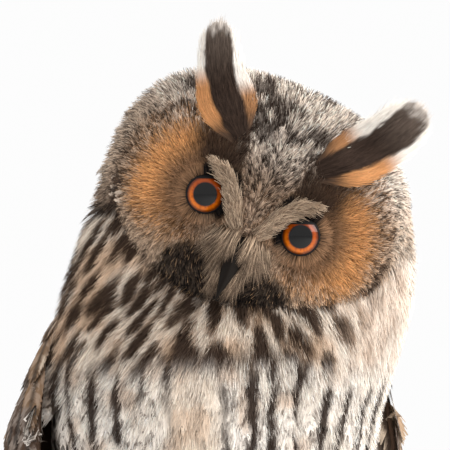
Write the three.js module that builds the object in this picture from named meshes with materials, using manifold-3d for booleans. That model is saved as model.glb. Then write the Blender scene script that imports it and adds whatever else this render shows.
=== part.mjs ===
// A long-eared owl at life size, perched on a short length of branch over a plain display stand.
// Millimetres, +Z up. The owl faces -Y and its left side is +X. The origin is the middle of the
// stand's underside. The head is built in its own frame (face towards -Y) and then turned and tilted.
import * as THREE from "three";
import { mergeVertices } from "three/addons/utils/BufferGeometryUtils.js";
import Module from "manifold-3d";

const wasm = await Module();
wasm.setup();

// Driving sizes of the stand and perch
const GAP = 0.3;
const BASE_RADIUS = 88;
const BASE_THICKNESS = 14;
const BASE_BEVEL = 2.5;
const BASE_SIDES = 40;
const ROD_RADIUS = 4;
const ROD_SPREAD = 50;
const PERCH_RADIUS = 15;
const PERCH_LENGTH = 176;
const PERCH_HEIGHT = 128;

// Driving sizes of the head, in the head's own frame, from the midpoint between the eyes
const HEAD_HALF_WIDTH = 62;
const HEAD_TOP = 55.5;
const HEAD_BOTTOM = 42;
const HEAD_FRONT = 38;
const HEAD_BACK = 46;
const HEAD_SQUARENESS = 2.5;
const HEAD_PIVOT = new THREE.Vector3(-5.4, -20, 297);
const HEAD_ABOVE_PIVOT = 40;
const HEAD_YAW = -18;
const HEAD_PITCH = 4;
const HEAD_ROLL = 24;

// Facial discs, eyes, lids and bill
const DISC_CENTRE_X = 26;
const DISC_CENTRE_Z = -1;
const DISC_HALF_WIDTH = 27;
const DISC_HALF_HEIGHT = 33;
const DISC_DEPTH = 5.5;
const RIM_HEIGHT = 2.4;
const EYE_X = 20.5;
const EYE_DEPTH = 25;
const EYE_RADIUS = 10.5;
const EYE_DIVERGENCE = 2;
const LID_THICKNESS = 0.9;
const LID_OPENING_WIDTH = 8.2;
const LID_OPENING_HEIGHT = 7.7;
const BILL_LENGTH = 33;
const BILL_HALF_WIDTH = 5.2;

// Ear tufts, wings, tail and legs
const TUFT_LENGTH = 43;
const TUFT_VANES = 5;
const TUFT_LEAN = 46;
const TUFT_BEND = 14;
const VANE_THICKNESS = 0.9;
const RECTRIX_PAIRS = 6;
const TAIL_TIP_HEIGHT = 27;
const TAIL_TIP_HALF_WIDTH = 24;
const LEG_X = 20;
const TOE_RADIUS = 4.6;
const CLAW_RADIUS = 2.1;

const V = (x, y, z) => new THREE.Vector3(x, y, z);
const rad = THREE.MathUtils.degToRad;
const lerp = THREE.MathUtils.lerp;
const smooth = THREE.MathUtils.smoothstep;

// A smooth function through a few knots, each [place, value]
function profile(knots) {
  const slope = (i) => {
    const a = knots[Math.max(0, i - 1)];
    const b = knots[Math.min(knots.length - 1, i + 1)];
    return (b[1] - a[1]) / (b[0] - a[0]);
  };
  return (at) => {
    const p = Math.min(Math.max(at, knots[0][0]), knots[knots.length - 1][0]);
    let i = 0;
    while (i < knots.length - 2 && p > knots[i + 1][0]) i++;
    const span = knots[i + 1][0] - knots[i][0];
    const t = (p - knots[i][0]) / span;
    const cubic = (2 * t - 3) * t * t;
    return (
      (cubic + 1) * knots[i][1] +
      -cubic * knots[i + 1][1] +
      t * (1 - t) * (1 - t) * span * slope(i) -
      t * t * (1 - t) * span * slope(i + 1)
    );
  };
}

// Triangles as a solid that can be joined and cut, turned to face outwards
function solidOf(geometry) {
  const bare = new THREE.BufferGeometry();
  bare.setAttribute("position", geometry.getAttribute("position").clone());
  bare.setIndex(geometry.index);
  const merged = mergeVertices(bare, 1e-4);
  const triVerts = new Uint32Array(merged.index.array);
  const vertProperties = merged.attributes.position.array;
  const make = () => new wasm.Manifold(new wasm.Mesh({ numProp: 3, vertProperties, triVerts }));
  const made = make();
  if (made.volume() > 0) return made;
  for (let i = 0; i < triVerts.length; i += 3) {
    [triVerts[i + 1], triVerts[i + 2]] = [triVerts[i + 2], triVerts[i + 1]];
  }
  return make();
}

// A closed skin over a list of rings that hold the same number of points
function loftGeometry(rings) {
  const count = rings[0].length;
  const points = rings.flat();
  const index = [];
  rings.slice(1).forEach((ring, r) => {
    for (let i = 0; i < count; i++) {
      const a = r * count + i;
      const b = r * count + ((i + 1) % count);
      index.push(a, b, b + count, a, b + count, a + count);
    }
  });
  [0, rings.length - 1].forEach((r) => {
    const middle = rings[r].reduce((sum, p) => sum.add(p), V(0, 0, 0)).divideScalar(count);
    const centre = points.push(middle) - 1;
    for (let i = 0; i < count; i++) {
      const a = r * count + i;
      const b = r * count + ((i + 1) % count);
      index.push(centre, ...(r ? [a, b] : [b, a]));
    }
  });
  const geometry = new THREE.BufferGeometry().setFromPoints(points);
  geometry.setIndex(index);
  return geometry;
}

const loft = (rings) => solidOf(loftGeometry(rings));

// One solid out of many overlapping ones
const joined = (solids) => solids.reduce((whole, next) => whole.add(next));

const without = (solid, ...cutters) => cutters.reduce((left, cutter) => left.subtract(cutter), solid);

// The largest closed body of a solid, so that no scrap or sealed hollow stays
function largest(solid) {
  return solid.decompose().reduce((a, b) => (a.volume() > b.volume() ? a : b));
}

// A tube of round or oval section along a path of stations, each { c, r, squash }
function tube(stations, sides) {
  const rings = stations.map(({ c, r, squash = 1 }, i) => {
    const before = stations[Math.max(0, i - 1)].c;
    const after = stations[Math.min(stations.length - 1, i + 1)].c;
    const ahead = after.clone().sub(before).normalize();
    const reference = Math.abs(ahead.x) > 0.8 ? V(0, 0, 1) : V(1, 0, 0);
    const across = reference.clone().sub(ahead.clone().multiplyScalar(reference.dot(ahead))).normalize();
    const over = ahead.clone().cross(across);
    return Array.from({ length: sides }, (_, k) => {
      const angle = (2 * Math.PI * k) / sides;
      return c
        .clone()
        .addScaledVector(across, r * Math.cos(angle))
        .addScaledVector(over, r * squash * Math.sin(angle));
    });
  });
  return loft(rings);
}

// A flat tapered piece laid along a path: place(t) is its line, up(t, point) the way out of the coat
function vane({ place, up, halfWidth, thickness = VANE_THICKNESS, steps = 5, blunt = 0.25, twist = 0 }) {
  const step = 0.01;
  const rings = Array.from({ length: steps + 1 }, (_, i) => {
    const t = Math.sin((Math.PI / 2) * (i / steps)) ** 0.9;
    const c = place(t);
    const ahead = place(Math.min(1, t + step)).sub(place(Math.max(0, t - step))).normalize();
    const out = up(t, c).clone();
    out.addScaledVector(ahead, -out.dot(ahead)).normalize();
    out.applyAxisAngle(ahead, rad(twist));
    const across = ahead.clone().cross(out);
    const taper = Math.sqrt(Math.max(0, 1 - t ** 5));
    const w = halfWidth * Math.max(blunt, taper * lerp(0.7, 1, Math.min(1, 2 * t)));
    const h = (thickness / 2) * lerp(1, 0.7, t);
    return [[w, h], [-w, h], [-w, -h], [w, -h]].map(([sideways, lift]) =>
      c.clone().addScaledVector(across, sideways).addScaledVector(out, lift),
    );
  });
  return loft(rings);
}

// Body: horizontal rings from the belly to inside the head, each an oval with its own front and back
const BODY_BOTTOM = 166;
const BODY_TOP = 358;
const BODY_RINGS = 15;
const BODY_SIDES = 24;
const BREAST_SQUARENESS = 2.35;
const body = {
  middleX: profile([[166, 0], [250, 0], [282, 4], [300, 7], [316, 9], [332, 10], [358, 10]]),
  middleY: profile([[166, 13], [192, 9], [240, 3], [282, -4], [316, -12], [358, -18]]),
  halfWidth: profile([
    [166, 18], [170, 31], [180, 43], [196, 54], [215, 63], [240, 69], [262, 70],
    [282, 72], [300, 73], [316, 71], [332, 67], [343, 60], [351, 46], [358, 22],
  ]),
  front: profile([
    [166, 14], [170, 27], [180, 38], [196, 49], [215, 57], [240, 61], [262, 62],
    [282, 57], [300, 47], [316, 43], [332, 36], [346, 26], [358, 14],
  ]),
  frontSkew: profile([[240, 0], [262, 3], [282, 12], [300, 22], [320, 22], [340, 12], [358, 0]]),
  back: profile([
    [166, 20], [170, 32], [180, 39], [196, 46], [215, 51], [240, 54], [262, 54],
    [282, 52], [300, 49], [316, 45], [332, 39], [343, 32], [351, 24], [358, 12],
  ]),
};

// A place on a ring of the body, z up and at an angle from its left side towards its back. The upper
// breast is fuller on the left, where the tilted head presses into it
function bodyPoint(z, angle, grow) {
  const isFront = Math.sin(angle) < 0;
  const power = isFront ? 2 / BREAST_SQUARENESS : 1;
  const across = Math.sign(Math.cos(angle)) * Math.abs(Math.cos(angle)) ** power;
  const backward = Math.sign(Math.sin(angle)) * Math.abs(Math.sin(angle)) ** power;
  const depth = isFront ? body.front(z) + body.frontSkew(z) * across : body.back(z);
  return V(
    body.middleX(z) + (body.halfWidth(z) + grow) * across,
    body.middleY(z) + (depth + grow) * backward,
    z,
  );
}

function bodyGeometry(grow) {
  const rings = Array.from({ length: BODY_RINGS }, (_, i) => {
    const share = i / (BODY_RINGS - 1);
    const eased = (1 - Math.cos(Math.PI * share)) / 2;
    const z = lerp(BODY_BOTTOM, BODY_TOP, lerp(share, eased, 0.7));
    const isEnd = i === 0 || i === BODY_RINGS - 1;
    const end = isEnd ? grow * Math.sign(share - 0.5) : 0;
    return Array.from({ length: BODY_SIDES }, (__, k) => {
      const point = bodyPoint(z, (2 * Math.PI * k) / BODY_SIDES, grow);
      return point.setZ(z + end);
    });
  });
  return loftGeometry(rings);
}

// Head: how far the face stands forward at a place on it, with its two dishes, rims, brows and bill ridge
function headReach(x, z, grow) {
  const height = z > 0 ? HEAD_TOP : HEAD_BOTTOM;
  const across = Math.abs(x) / (HEAD_HALF_WIDTH + grow);
  const upward = Math.abs(z) / (height + grow);
  return (across ** HEAD_SQUARENESS + upward ** HEAD_SQUARENESS) ** (1 / HEAD_SQUARENESS);
}

function ridge(distance, width) {
  return Math.exp(-((distance / width) ** 2));
}

// Brow, from beside the bill's root up and over the inner corner of the eye, as places [x, z]
const BROW = [[5.5, -8], [9.3, 0], [13.5, 7.5], [19.8, 12.6], [25.5, 13.6]];

// Distance in the face's plane from a line through places
function lineDistance(x, z, line) {
  const spans = line.slice(1).map(([bx, bz], i) => {
    const [ax, az] = line[i];
    const dx = bx - ax;
    const dz = bz - az;
    const t = THREE.MathUtils.clamp(((x - ax) * dx + (z - az) * dz) / (dx * dx + dz * dz), 0, 1);
    return Math.hypot(x - ax - t * dx, z - az - t * dz);
  });
  return Math.min(...spans);
}

function faceForward(x, z, grow = 0) {
  const reach = Math.min(1, headReach(x, z, grow));
  const dome = (HEAD_FRONT + grow) * Math.sqrt(1 - reach ** 3);
  const side = Math.abs(x);
  const disc = Math.hypot((side - DISC_CENTRE_X) / DISC_HALF_WIDTH, (z - DISC_CENTRE_Z) / DISC_HALF_HEIGHT);
  const dish = disc < 1 ? -DISC_DEPTH * (1 - disc ** 3) : 0;
  const rim = RIM_HEIGHT * ridge(disc - 1.04, 0.1) * smooth(side, 6, 20);
  const brow = 2.4 * ridge(lineDistance(side, z, BROW), 3.6);
  const snout = 5 * ridge(side, 6.5) * smooth(z, -36, -22) * (1 - smooth(z, -10, 12));
  const fade = 1 - smooth(reach, 0.86, 1);
  return dome + fade * (dish + rim + brow + snout);
}

const HEAD_SIDES = 32;
const HEAD_FRONT_RINGS = 12;
const HEAD_BACK_RINGS = 4;

function headGeometry(grow) {
  const ringAt = (share, isFront) =>
    Array.from({ length: HEAD_SIDES }, (_, k) => {
      const angle = (2 * Math.PI * (k + 0.5)) / HEAD_SIDES;
      const edge = 1 / headReach(Math.cos(angle), Math.sin(angle), grow);
      const reach = Math.max(share, 0.004);
      const x = edge * reach * Math.cos(angle);
      const z = edge * reach * Math.sin(angle);
      const back = (HEAD_BACK + grow) * Math.sqrt(Math.max(0, 1 - reach ** 2.2));
      return V(x, isFront ? -faceForward(x, z, grow) : back, z);
    });
  const front = Array.from({ length: HEAD_FRONT_RINGS }, (_, i) =>
    ringAt(1 - (1 - i / (HEAD_FRONT_RINGS - 1)) ** 1.35, true),
  );
  const back = Array.from({ length: HEAD_BACK_RINGS }, (_, i) =>
    ringAt(Math.cos((Math.PI / 2) * ((i + 1) / HEAD_BACK_RINGS)), false),
  );
  return loftGeometry([...front, ...back]);
}

const headPose = new THREE.Euler(rad(HEAD_PITCH), rad(HEAD_ROLL), rad(HEAD_YAW), "ZXY");
const headPlace = V(0, 0, HEAD_ABOVE_PIVOT).applyEuler(headPose).add(HEAD_PIVOT);
const headMatrix = new THREE.Matrix4().makeRotationFromEuler(headPose).setPosition(headPlace);
const posedHead = (grow) => solidOf(headGeometry(grow).applyMatrix4(headMatrix));

// The way out of the face at a place on it
function faceNormal(x, z) {
  const step = 0.6;
  const slopeX = (faceForward(x + step, z) - faceForward(x - step, z)) / (2 * step);
  const slopeZ = (faceForward(x, z + step) - faceForward(x, z - step)) / (2 * step);
  return V(-slopeX, -1, -slopeZ).normalize();
}

// A lock that lies on the face between two places, its root sunk and its tip lifted
function faceLock(side, from, to, halfWidth, lift, bend = 0) {
  const across = V(to[1] - from[1], 0, from[0] - to[0]).normalize();
  const spot = (t) => {
    const sway = bend * Math.sin(Math.PI * t);
    return [lerp(from[0], to[0], t) + across.x * sway, lerp(from[1], to[1], t) + across.z * sway];
  };
  return vane({
    place: (t) => {
      const [x, z] = spot(t);
      const height = lerp(-1.5, lift, t ** 0.5);
      const out = faceNormal(x, z);
      return V(side * (x + out.x * height), -faceForward(x, z) + out.y * height, z + out.z * height);
    },
    up: (t) => {
      const [x, z] = spot(t);
      const out = faceNormal(x, z);
      return V(side * out.x, out.y, out.z);
    },
    halfWidth,
    thickness: 1.3,
    steps: 3,
    blunt: 0.25,
  });
}

// Pale brow: locks that overlap along its line
function browLocks(side) {
  return [0, 1, 2].map((i) => faceLock(side, BROW[i], BROW[i + 2], 2.7, 1.8, -0.8));
}

// Bristles that hang beside the bill
function bristleLocks(side) {
  return Array.from({ length: 4 }, (_, i) =>
    faceLock(side, [4 + 1.5 * i, -12 - i], [7 + 5 * i, -37 + 3 * i], 2.6, 2, -1),
  );
}

// Ruff: short flat feathers that edge each disc from below the tuft round to the chin
const RUFF_FEATHERS = 8;
function ruffLocks(side) {
  return Array.from({ length: RUFF_FEATHERS }, (_, i) => {
    const angle = rad(lerp(78, -112, i / (RUFF_FEATHERS - 1)));
    const at = (share) => [
      DISC_CENTRE_X + DISC_HALF_WIDTH * share * Math.cos(angle),
      DISC_CENTRE_Z + DISC_HALF_HEIGHT * share * Math.sin(angle),
    ];
    return faceLock(side, at(0.94), at(1.2), 5.2, 1.7);
  });
}

const eyeMiddle = (side) => V(side * EYE_X, -EYE_DEPTH, 0);

function placedBall(centre, radius, detail) {
  const ball = new THREE.IcosahedronGeometry(radius, detail);
  ball.translate(centre.x, centre.y, centre.z);
  return solidOf(ball);
}

// The almond opening between the lids, as a tapered plug along the eye's line of sight
function lidOpening(side) {
  const plug = new THREE.CylinderGeometry(1.25, 0.8, 16, 20);
  plug.scale(LID_OPENING_WIDTH, 1, LID_OPENING_HEIGHT);
  plug.rotateX(Math.PI);
  plug.rotateZ(rad(side * EYE_DIVERGENCE));
  const gaze = V(side * Math.sin(rad(EYE_DIVERGENCE)), -1, -0.05);
  const middle = eyeMiddle(side).addScaledVector(gaze, EYE_RADIUS);
  plug.translate(middle.x, middle.y, middle.z);
  return solidOf(plug);
}

// Upper bill: deep at the root and hooked at the tip
const BILL_STEPS = 7;
function billUpper(grow) {
  const centre = V(0, -31, -13);
  const rings = Array.from({ length: BILL_STEPS + 1 }, (_, i) => {
    const t = i / BILL_STEPS;
    const bend = rad(lerp(10, 104, t));
    const w = Math.max(0.4, BILL_HALF_WIDTH * (1 - t ** 1.8)) + grow;
    const h = Math.max(0.4, 6.2 * (1 - t ** 1.6)) + grow;
    const ahead = V(0, -Math.cos(bend), -Math.sin(bend));
    const over = V(0, -Math.sin(bend), Math.cos(bend));
    const middle = centre.clone();
    centre.addScaledVector(ahead, BILL_LENGTH / BILL_STEPS);
    return Array.from({ length: 10 }, (_, k) => {
      const angle = (2 * Math.PI * k) / 10;
      const rise = Math.sin(angle);
      return middle
        .clone()
        .add(V(w * Math.cos(angle) * (rise > 0 ? 1 - 0.4 * rise : 1), 0, 0))
        .addScaledVector(over, h * rise * (rise > 0 ? 1 : 0.5));
    });
  });
  return loft(rings);
}

// Lower bill: a short trough behind the upper one's tip
function billLower(grow) {
  return tube(
    [
      { c: V(0, -29, -26), r: 4.6 + grow, squash: 0.65 },
      { c: V(0, -34.5, -29), r: 4.2 + grow, squash: 0.65 },
      { c: V(0, -38.5, -33), r: 3 + grow, squash: 0.65 },
      { c: V(0, -40, -37), r: 1.3 + grow, squash: 0.65 },
    ],
    10,
  );
}

function nostril(side) {
  return placedBall(V(side * 4, -41, -15.5), 1.5, 0);
}

// The middle line of an ear tuft, which leans outwards at its root and bends up towards its tip
function tuftPlace(side, t, length = TUFT_LENGTH) {
  const lean = rad(TUFT_LEAN - TUFT_BEND * t);
  return V(
    side * (21 + length * t * Math.sin(lean)),
    -19 + 4 * t - 3 * Math.sin(Math.PI * t),
    30 + length * t * Math.cos(lean),
  );
}

// Ear tuft: vanes side by side that draw together towards the tip, the middle ones longest
function tuft(side) {
  const across = V(side * Math.cos(rad(TUFT_LEAN)), 0, -Math.sin(rad(TUFT_LEAN)));
  const vanes = Array.from({ length: TUFT_VANES }, (_, i) => {
    const spread = (i - (TUFT_VANES - 1) / 2) / ((TUFT_VANES - 1) / 2);
    const length = TUFT_LENGTH * (1 - 0.16 * Math.abs(spread) ** 1.5);
    return vane({
      place: (t) => {
        const c = tuftPlace(side, t, length).addScaledVector(across, lerp(8, 5, t) * spread);
        c.y += 1.4 * Math.abs(spread) - 1.4;
        return c;
      },
      up: () => V(side * 0.35 * spread, -1, 0.1),
      halfWidth: 4.4,
      thickness: 1.5,
      steps: 4,
      blunt: 0.25,
      twist: 9 * spread * side,
    });
  });
  const core = tube(
    [
      { c: tuftPlace(side, -0.08).setY(-15), r: 9, squash: 0.6 },
      { c: tuftPlace(side, 0.2).setY(-17), r: 8.5, squash: 0.4 },
      { c: tuftPlace(side, 0.45).setY(-17.5), r: 6.5, squash: 0.3 },
      { c: tuftPlace(side, 0.65).setY(-17), r: 4, squash: 0.3 },
    ],
    10,
  );
  return joined([core, ...vanes]);
}

// Folded wing: a sheet wrapped round the body's side and back, and then over the tail.
// u runs down it from the wrist to the tip, and v across it from the front edge (-1) to the back one (1)
const WING_TOP = 306;
const WING_TIP = 27;
const wing = {
  halfWidth: profile([
    [27, 23], [60, 29], [110, 39], [150, 50], [180, 60], [205, 69], [225, 74],
    [240, 75], [262, 71], [285, 68], [310, 66],
  ]),
  middleY: profile([
    [27, 40], [60, 36], [110, 27], [150, 18], [192, 9], [240, 3], [282, -4], [310, -11],
  ]),
  back: profile([[27, 19], [60, 24], [110, 35], [150, 42], [192, 49], [240, 54], [262, 54], [310, 48]]),
  frontEdge: profile([
    [0, 26], [0.07, 12], [0.15, -4], [0.24, -16], [0.38, -14], [0.5, 2], [0.62, 20], [0.8, 38], [1, 50],
  ]),
  backEdge: profile([[0, 48], [0.06, 70], [0.18, 82], [0.3, 87], [0.6, 88], [1, 86]]),
  depth: profile([[0, 2], [0.08, 7], [0.25, 8], [0.5, 6], [0.7, 4], [1, 3.5]]),
};

function wingPoint(side, u, v, height) {
  const z = lerp(WING_TOP, WING_TIP, u);
  const angle = rad(lerp(wing.frontEdge(u), wing.backEdge(u), (v + 1) / 2));
  const out = height + wing.depth(u) * (1 - 0.45 * v * v);
  const depth = angle < 0 ? Math.min(body.front(z), wing.back(z) + 6) : wing.back(z);
  const shift = z > 200 ? body.middleX(z) : 0;
  return V(
    shift + side * (wing.halfWidth(z) + out) * Math.cos(angle),
    wing.middleY(z) + (depth + out) * Math.sin(angle),
    z,
  );
}

function wingOut(side, u, v) {
  const step = 0.02;
  const along = wingPoint(side, u + step, v, 0).sub(wingPoint(side, u - step, v, 0));
  const across = wingPoint(side, u, v + step, 0).sub(wingPoint(side, u, v - step, 0));
  return across.cross(along).multiplyScalar(-side).normalize();
}

// The wing's flesh and under feathers, as a slab below the vanes
function wingCore(side) {
  const rings = Array.from({ length: 12 }, (_, i) => {
    const u = 0.005 + 0.93 * (i / 11);
    const depth = lerp(14, 2.6, smooth(u, 0.4, 0.75));
    const width = lerp(0.95, 0.8, smooth(u, 0.5, 0.9));
    const outer = [-1, -0.6, -0.2, 0.2, 0.6, 1].map((v) => wingPoint(side, u, v * width, -1.5));
    const inner = [1, 0.35, -0.35, -1].map((v) => wingPoint(side, u, v * width, -depth));
    return [...outer, ...inner];
  });
  return loft(rings);
}

// One tier of a wing's vanes, from the front edge of the wing to the back one
function wingTier(side, { count, steps = 4, root, tip, front, back, halfWidth, lift, twist }) {
  return Array.from({ length: count }, (_, i) => {
    const share = count > 1 ? i / (count - 1) : 0.5;
    const v0 = lerp(front[0], back[0], share);
    const v1 = lerp(front[1], back[1], share);
    const uRoot = lerp(root[0], root[1], share);
    const uTip = lerp(tip[0], tip[1], share) + (tip[2] ?? 0) * Math.sin(Math.PI * share);
    const spot = (t) => [lerp(uRoot, uTip, t), lerp(v0, v1, t)];
    return vane({
      place: (t) => wingPoint(side, ...spot(t), lerp(-2.6, lift, t ** 0.4)),
      up: (t) => wingOut(side, ...spot(t)),
      halfWidth: halfWidth * (1 + 0.06 * Math.sin(5 * i)),
      steps,
      blunt: 0.3,
      twist: -side * twist,
    });
  });
}

// Tiers of vanes. root and tip: u at the wing's front and back edge, and how far the middle ones pass
// their neighbours. front and back: v of the root and of the tip, for the first vane and the last one
const PRIMARIES = {
  count: 6,
  root: [0.46, 0.42],
  tip: [0.93, 0.86, 0.09],
  front: [-0.8, -0.7],
  back: [0.3, 0.7],
  halfWidth: 5.6,
  lift: 0.2,
  twist: 10,
};
const SECONDARIES = {
  count: 6,
  root: [0.33, 0.27],
  tip: [0.58, 0.66],
  front: [-0.76, -0.76],
  back: [0.95, 0.87],
  halfWidth: 8.6,
  lift: 1.2,
  twist: 8,
};
const GREATER_COVERTS = {
  count: 6,
  steps: 3,
  root: [0.2, 0.19],
  tip: [0.42, 0.46],
  front: [-0.86, -0.86],
  back: [0.94, 0.92],
  halfWidth: 10.5,
  lift: 1.9,
  twist: 7,
};
const MEDIAN_COVERTS = {
  count: 5,
  steps: 3,
  root: [0.09, 0.1],
  tip: [0.29, 0.32],
  front: [-0.84, -0.84],
  back: [0.86, 0.9],
  halfWidth: 11.5,
  lift: 2.4,
  twist: 7,
};
const WING_TIERS = [PRIMARIES, SECONDARIES, GREATER_COVERTS, MEDIAN_COVERTS];

function wingForm(side) {
  return joined([wingCore(side), ...WING_TIERS.flatMap((tier) => wingTier(side, tier))]);
}

// Tail: pairs of long vanes that overlap, the middle pair on top, out of a wedge of tail coverts
function tailForm() {
  const root = V(0, 36, 188);
  const tip = V(0, 51, TAIL_TIP_HEIGHT);
  const vanes = Array.from({ length: 2 * RECTRIX_PAIRS }, (_, i) => {
    const side = i % 2 ? 1 : -1;
    const share = (Math.floor(i / 2) + 0.4) / RECTRIX_PAIRS;
    const under = -0.85 * Math.floor(i / 2) - (side > 0 ? 0.4 : 0);
    return vane({
      place: (t) => {
        const c = root.clone().lerp(tip, t);
        c.x = side * share * lerp(9, TAIL_TIP_HALF_WIDTH - 6, t);
        c.y += under * lerp(1, 1.25, t) - 3 * Math.sin(Math.PI * t) - 4 * share * share;
        c.z += 9 * t * share ** 3;
        return c;
      },
      up: () => V(side * 0.12 * share, 1, 0.1),
      halfWidth: 7,
      steps: 5,
      blunt: 0.45,
      twist: 0,
    });
  });
  const coverts = tube(
    [
      { c: V(0, 26, 190), r: 27, squash: 0.75 },
      { c: V(0, 30, 168), r: 24, squash: 0.66 },
      { c: V(0, 34, 142), r: 19, squash: 0.45 },
      { c: V(0, 37.5, 112), r: 15, squash: 0.3 },
      { c: V(0, 40, 88), r: 8, squash: 0.2 },
    ],
    16,
  );
  return joined([coverts, ...vanes]);
}

// The room the tail takes, for the wings to keep clear of
function tailClearance() {
  const stations = [[38, 190, 28, 20], [38, 142, 22, 9], [43, 88, 22, 7], [49, TAIL_TIP_HEIGHT - 4, 30, 6]];
  const corners = [[1, 1], [-1, 1], [-1, -1], [1, -1]];
  return loft(stations.map(([y, z, w, h]) => corners.map(([dx, dy]) => V(w * dx, y - 6 + h * dy, z))));
}

// Everything on the other side of the body's middle plane
function farHalf(side) {
  const half = new THREE.BoxGeometry(200, 400, 500);
  half.translate(side * (GAP / 2 - 100), 0, 200);
  return solidOf(half);
}

// Legs: a feathered thigh, a feathered shank, four feathered toes and their claws
function thigh(side, grow) {
  return tube(
    [
      { c: V(side * 26, -2, 212), r: 20 + grow, squash: 1.3 },
      { c: V(side * 26.5, -5, 194), r: 21 + grow, squash: 1.3 },
      { c: V(side * 24, -5, 178), r: 17.5 + grow, squash: 1.25 },
      { c: V(side * 21, -3, 166), r: 12 + grow, squash: 1.15 },
      { c: V(side * LEG_X, -1.5, 160 - grow), r: 8.5 + grow, squash: 1.1 },
    ],
    16,
  );
}

function shank(side, grow) {
  return tube(
    [
      { c: V(side * LEG_X, -1, 172), r: 8 + grow },
      { c: V(side * LEG_X, -0.5, 160), r: 7.6 + grow },
      { c: V(side * LEG_X, 0, 153.5 - grow), r: 7.2 + grow },
    ],
    12,
  );
}

// Toes wrap the perch: two in front and two behind. Each has a sideways place and a sweep in degrees
const TOES = [
  { name: "front_inner", offset: -5.5, splay: -5, sweep: -74 },
  { name: "front_outer", offset: 5.5, splay: 6, sweep: -76 },
  { name: "rear_inner", offset: -4.5, splay: -7, sweep: 62 },
  { name: "rear_outer", offset: 5.5, splay: 10, sweep: 66 },
];
const TOE_CIRCLE = PERCH_RADIUS + TOE_RADIUS + 0.2;

// A place round the perch, by its angle from the top (negative is forward) and distance from the axis
function roundPerch(x, degrees, distance) {
  const angle = rad(degrees);
  return V(x, distance * Math.sin(angle), PERCH_HEIGHT + distance * Math.cos(angle));
}

function toe(side, { offset, splay, sweep }, grow) {
  return tube(
    Array.from({ length: 5 }, (_, i) => {
      const t = i / 4;
      const x = side * (LEG_X + offset + splay * t);
      const knuckle = 1 + 0.08 * Math.cos(4 * Math.PI * t);
      const r = lerp(TOE_RADIUS, TOE_RADIUS * 0.78, t) * knuckle;
      return { c: roundPerch(x, sweep * t, TOE_CIRCLE - 0.8 * t), r: r + grow };
    }),
    8,
  );
}

function claw(side, { offset, splay, sweep }) {
  const x = side * (LEG_X + offset + splay);
  const turn = Math.sign(sweep);
  return tube(
    Array.from({ length: 7 }, (_, i) => {
      const t = i / 6;
      const distance = TOE_CIRCLE - 0.6 + 1.6 * Math.sin(Math.PI * t) - 1.6 * t;
      const r = Math.max(0.3, CLAW_RADIUS * (1 - t ** 1.4));
      return { c: roundPerch(x + side * 0.06 * splay * t, sweep - turn * 6 + turn * 52 * t, distance), r };
    }),
    6,
  );
}

function foot(side) {
  const palm = tube(
    [
      { c: V(side * LEG_X, 0, 157), r: 7.4 },
      { c: V(side * LEG_X, 0, 150), r: 9 },
      { c: V(side * LEG_X, 0, 143), r: 8 },
    ],
    10,
  );
  return joined([palm, ...TOES.map((each) => toe(side, each, 0))]);
}

// Perch: a cut branch with a slight bow, swellings and one broken twig stub
function perchForm(grow) {
  const sides = 14;
  const rings = Array.from({ length: 13 }, (_, i) => {
    const x = PERCH_LENGTH * (i / 12 - 0.5);
    const still = smooth(Math.abs(x), 38, 75);
    const bow = still * (2.5 * Math.cos(x / 30) - 1.5);
    const swell = still * (1.4 * Math.sin(x / 13) + 0.8 * Math.sin(x / 7 + 1));
    return Array.from({ length: sides }, (_, k) => {
      const angle = (2 * Math.PI * k) / sides;
      const lump = still * 0.7 * Math.sin(3 * angle + x / 20);
      const r = PERCH_RADIUS - 0.2 + swell + lump + grow;
      const end = grow * Math.sign(x) * (i === 0 || i === 12);
      return V(x + end, r * Math.cos(angle) + bow, PERCH_HEIGHT + r * Math.sin(angle) + bow * 0.6);
    });
  });
  return loft(rings);
}

function twigStub() {
  return tube(
    [
      { c: V(-58, -4, PERCH_HEIGHT + 4), r: 6 },
      { c: V(-63, -14, PERCH_HEIGHT + 15), r: 4.8 },
      { c: V(-67, -20, PERCH_HEIGHT + 23), r: 4 },
      { c: V(-69, -23, PERCH_HEIGHT + 27), r: 3.4 },
    ],
    10,
  );
}

function baseForm() {
  const outline = [
    [0, 0],
    [BASE_RADIUS, 0],
    [BASE_RADIUS, BASE_THICKNESS - BASE_BEVEL],
    [BASE_RADIUS - BASE_BEVEL, BASE_THICKNESS],
    [0, BASE_THICKNESS],
  ].map(([r, h]) => new THREE.Vector2(r, h));
  const disc = new THREE.LatheGeometry(outline, BASE_SIDES);
  disc.rotateX(Math.PI / 2);
  return solidOf(disc);
}

function rodForm(side) {
  const top = PERCH_HEIGHT;
  const bottom = BASE_THICKNESS + GAP;
  const rod = new THREE.CylinderGeometry(ROD_RADIUS, ROD_RADIUS, top - bottom, 16);
  rod.rotateX(Math.PI / 2);
  rod.translate(side * ROD_SPREAD, 0, (top + bottom) / 2);
  return solidOf(rod);
}

// Neck: the part of the body above a slanting plane, parted from the torso by a thin cut
const NECK_CUT = { middle: V(4, 0, 302), tilt: -17, lean: -4 };

function neckSlab(low, high) {
  const slab = new THREE.BoxGeometry(260, 260, high - low);
  slab.translate(0, 0, (low + high) / 2);
  slab.rotateX(rad(-NECK_CUT.tilt));
  slab.rotateY(rad(NECK_CUT.lean));
  slab.translate(NECK_CUT.middle.x, NECK_CUT.middle.y, NECK_CUT.middle.z);
  return solidOf(slab);
}

function material(color, roughness, metalness = 0) {
  return new THREE.MeshStandardMaterial({ color, roughness, metalness });
}

const looks = {
  coat: material("#8c7866", 0.85),
  breast: material("#b09c86", 0.85),
  flight: material("#6b5442", 0.75),
  tuftDark: material("#3c3230", 0.85),
  eye: material("#c4620f", 0.15),
  horn: material("#1d1817", 0.4),
  foot: material("#c09c72", 0.85),
  bark: material("#6d5b42", 0.9),
  wood: material("#54402f", 0.5),
  metal: material("#3a3a3c", 0.4, 0.8),
};

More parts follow.
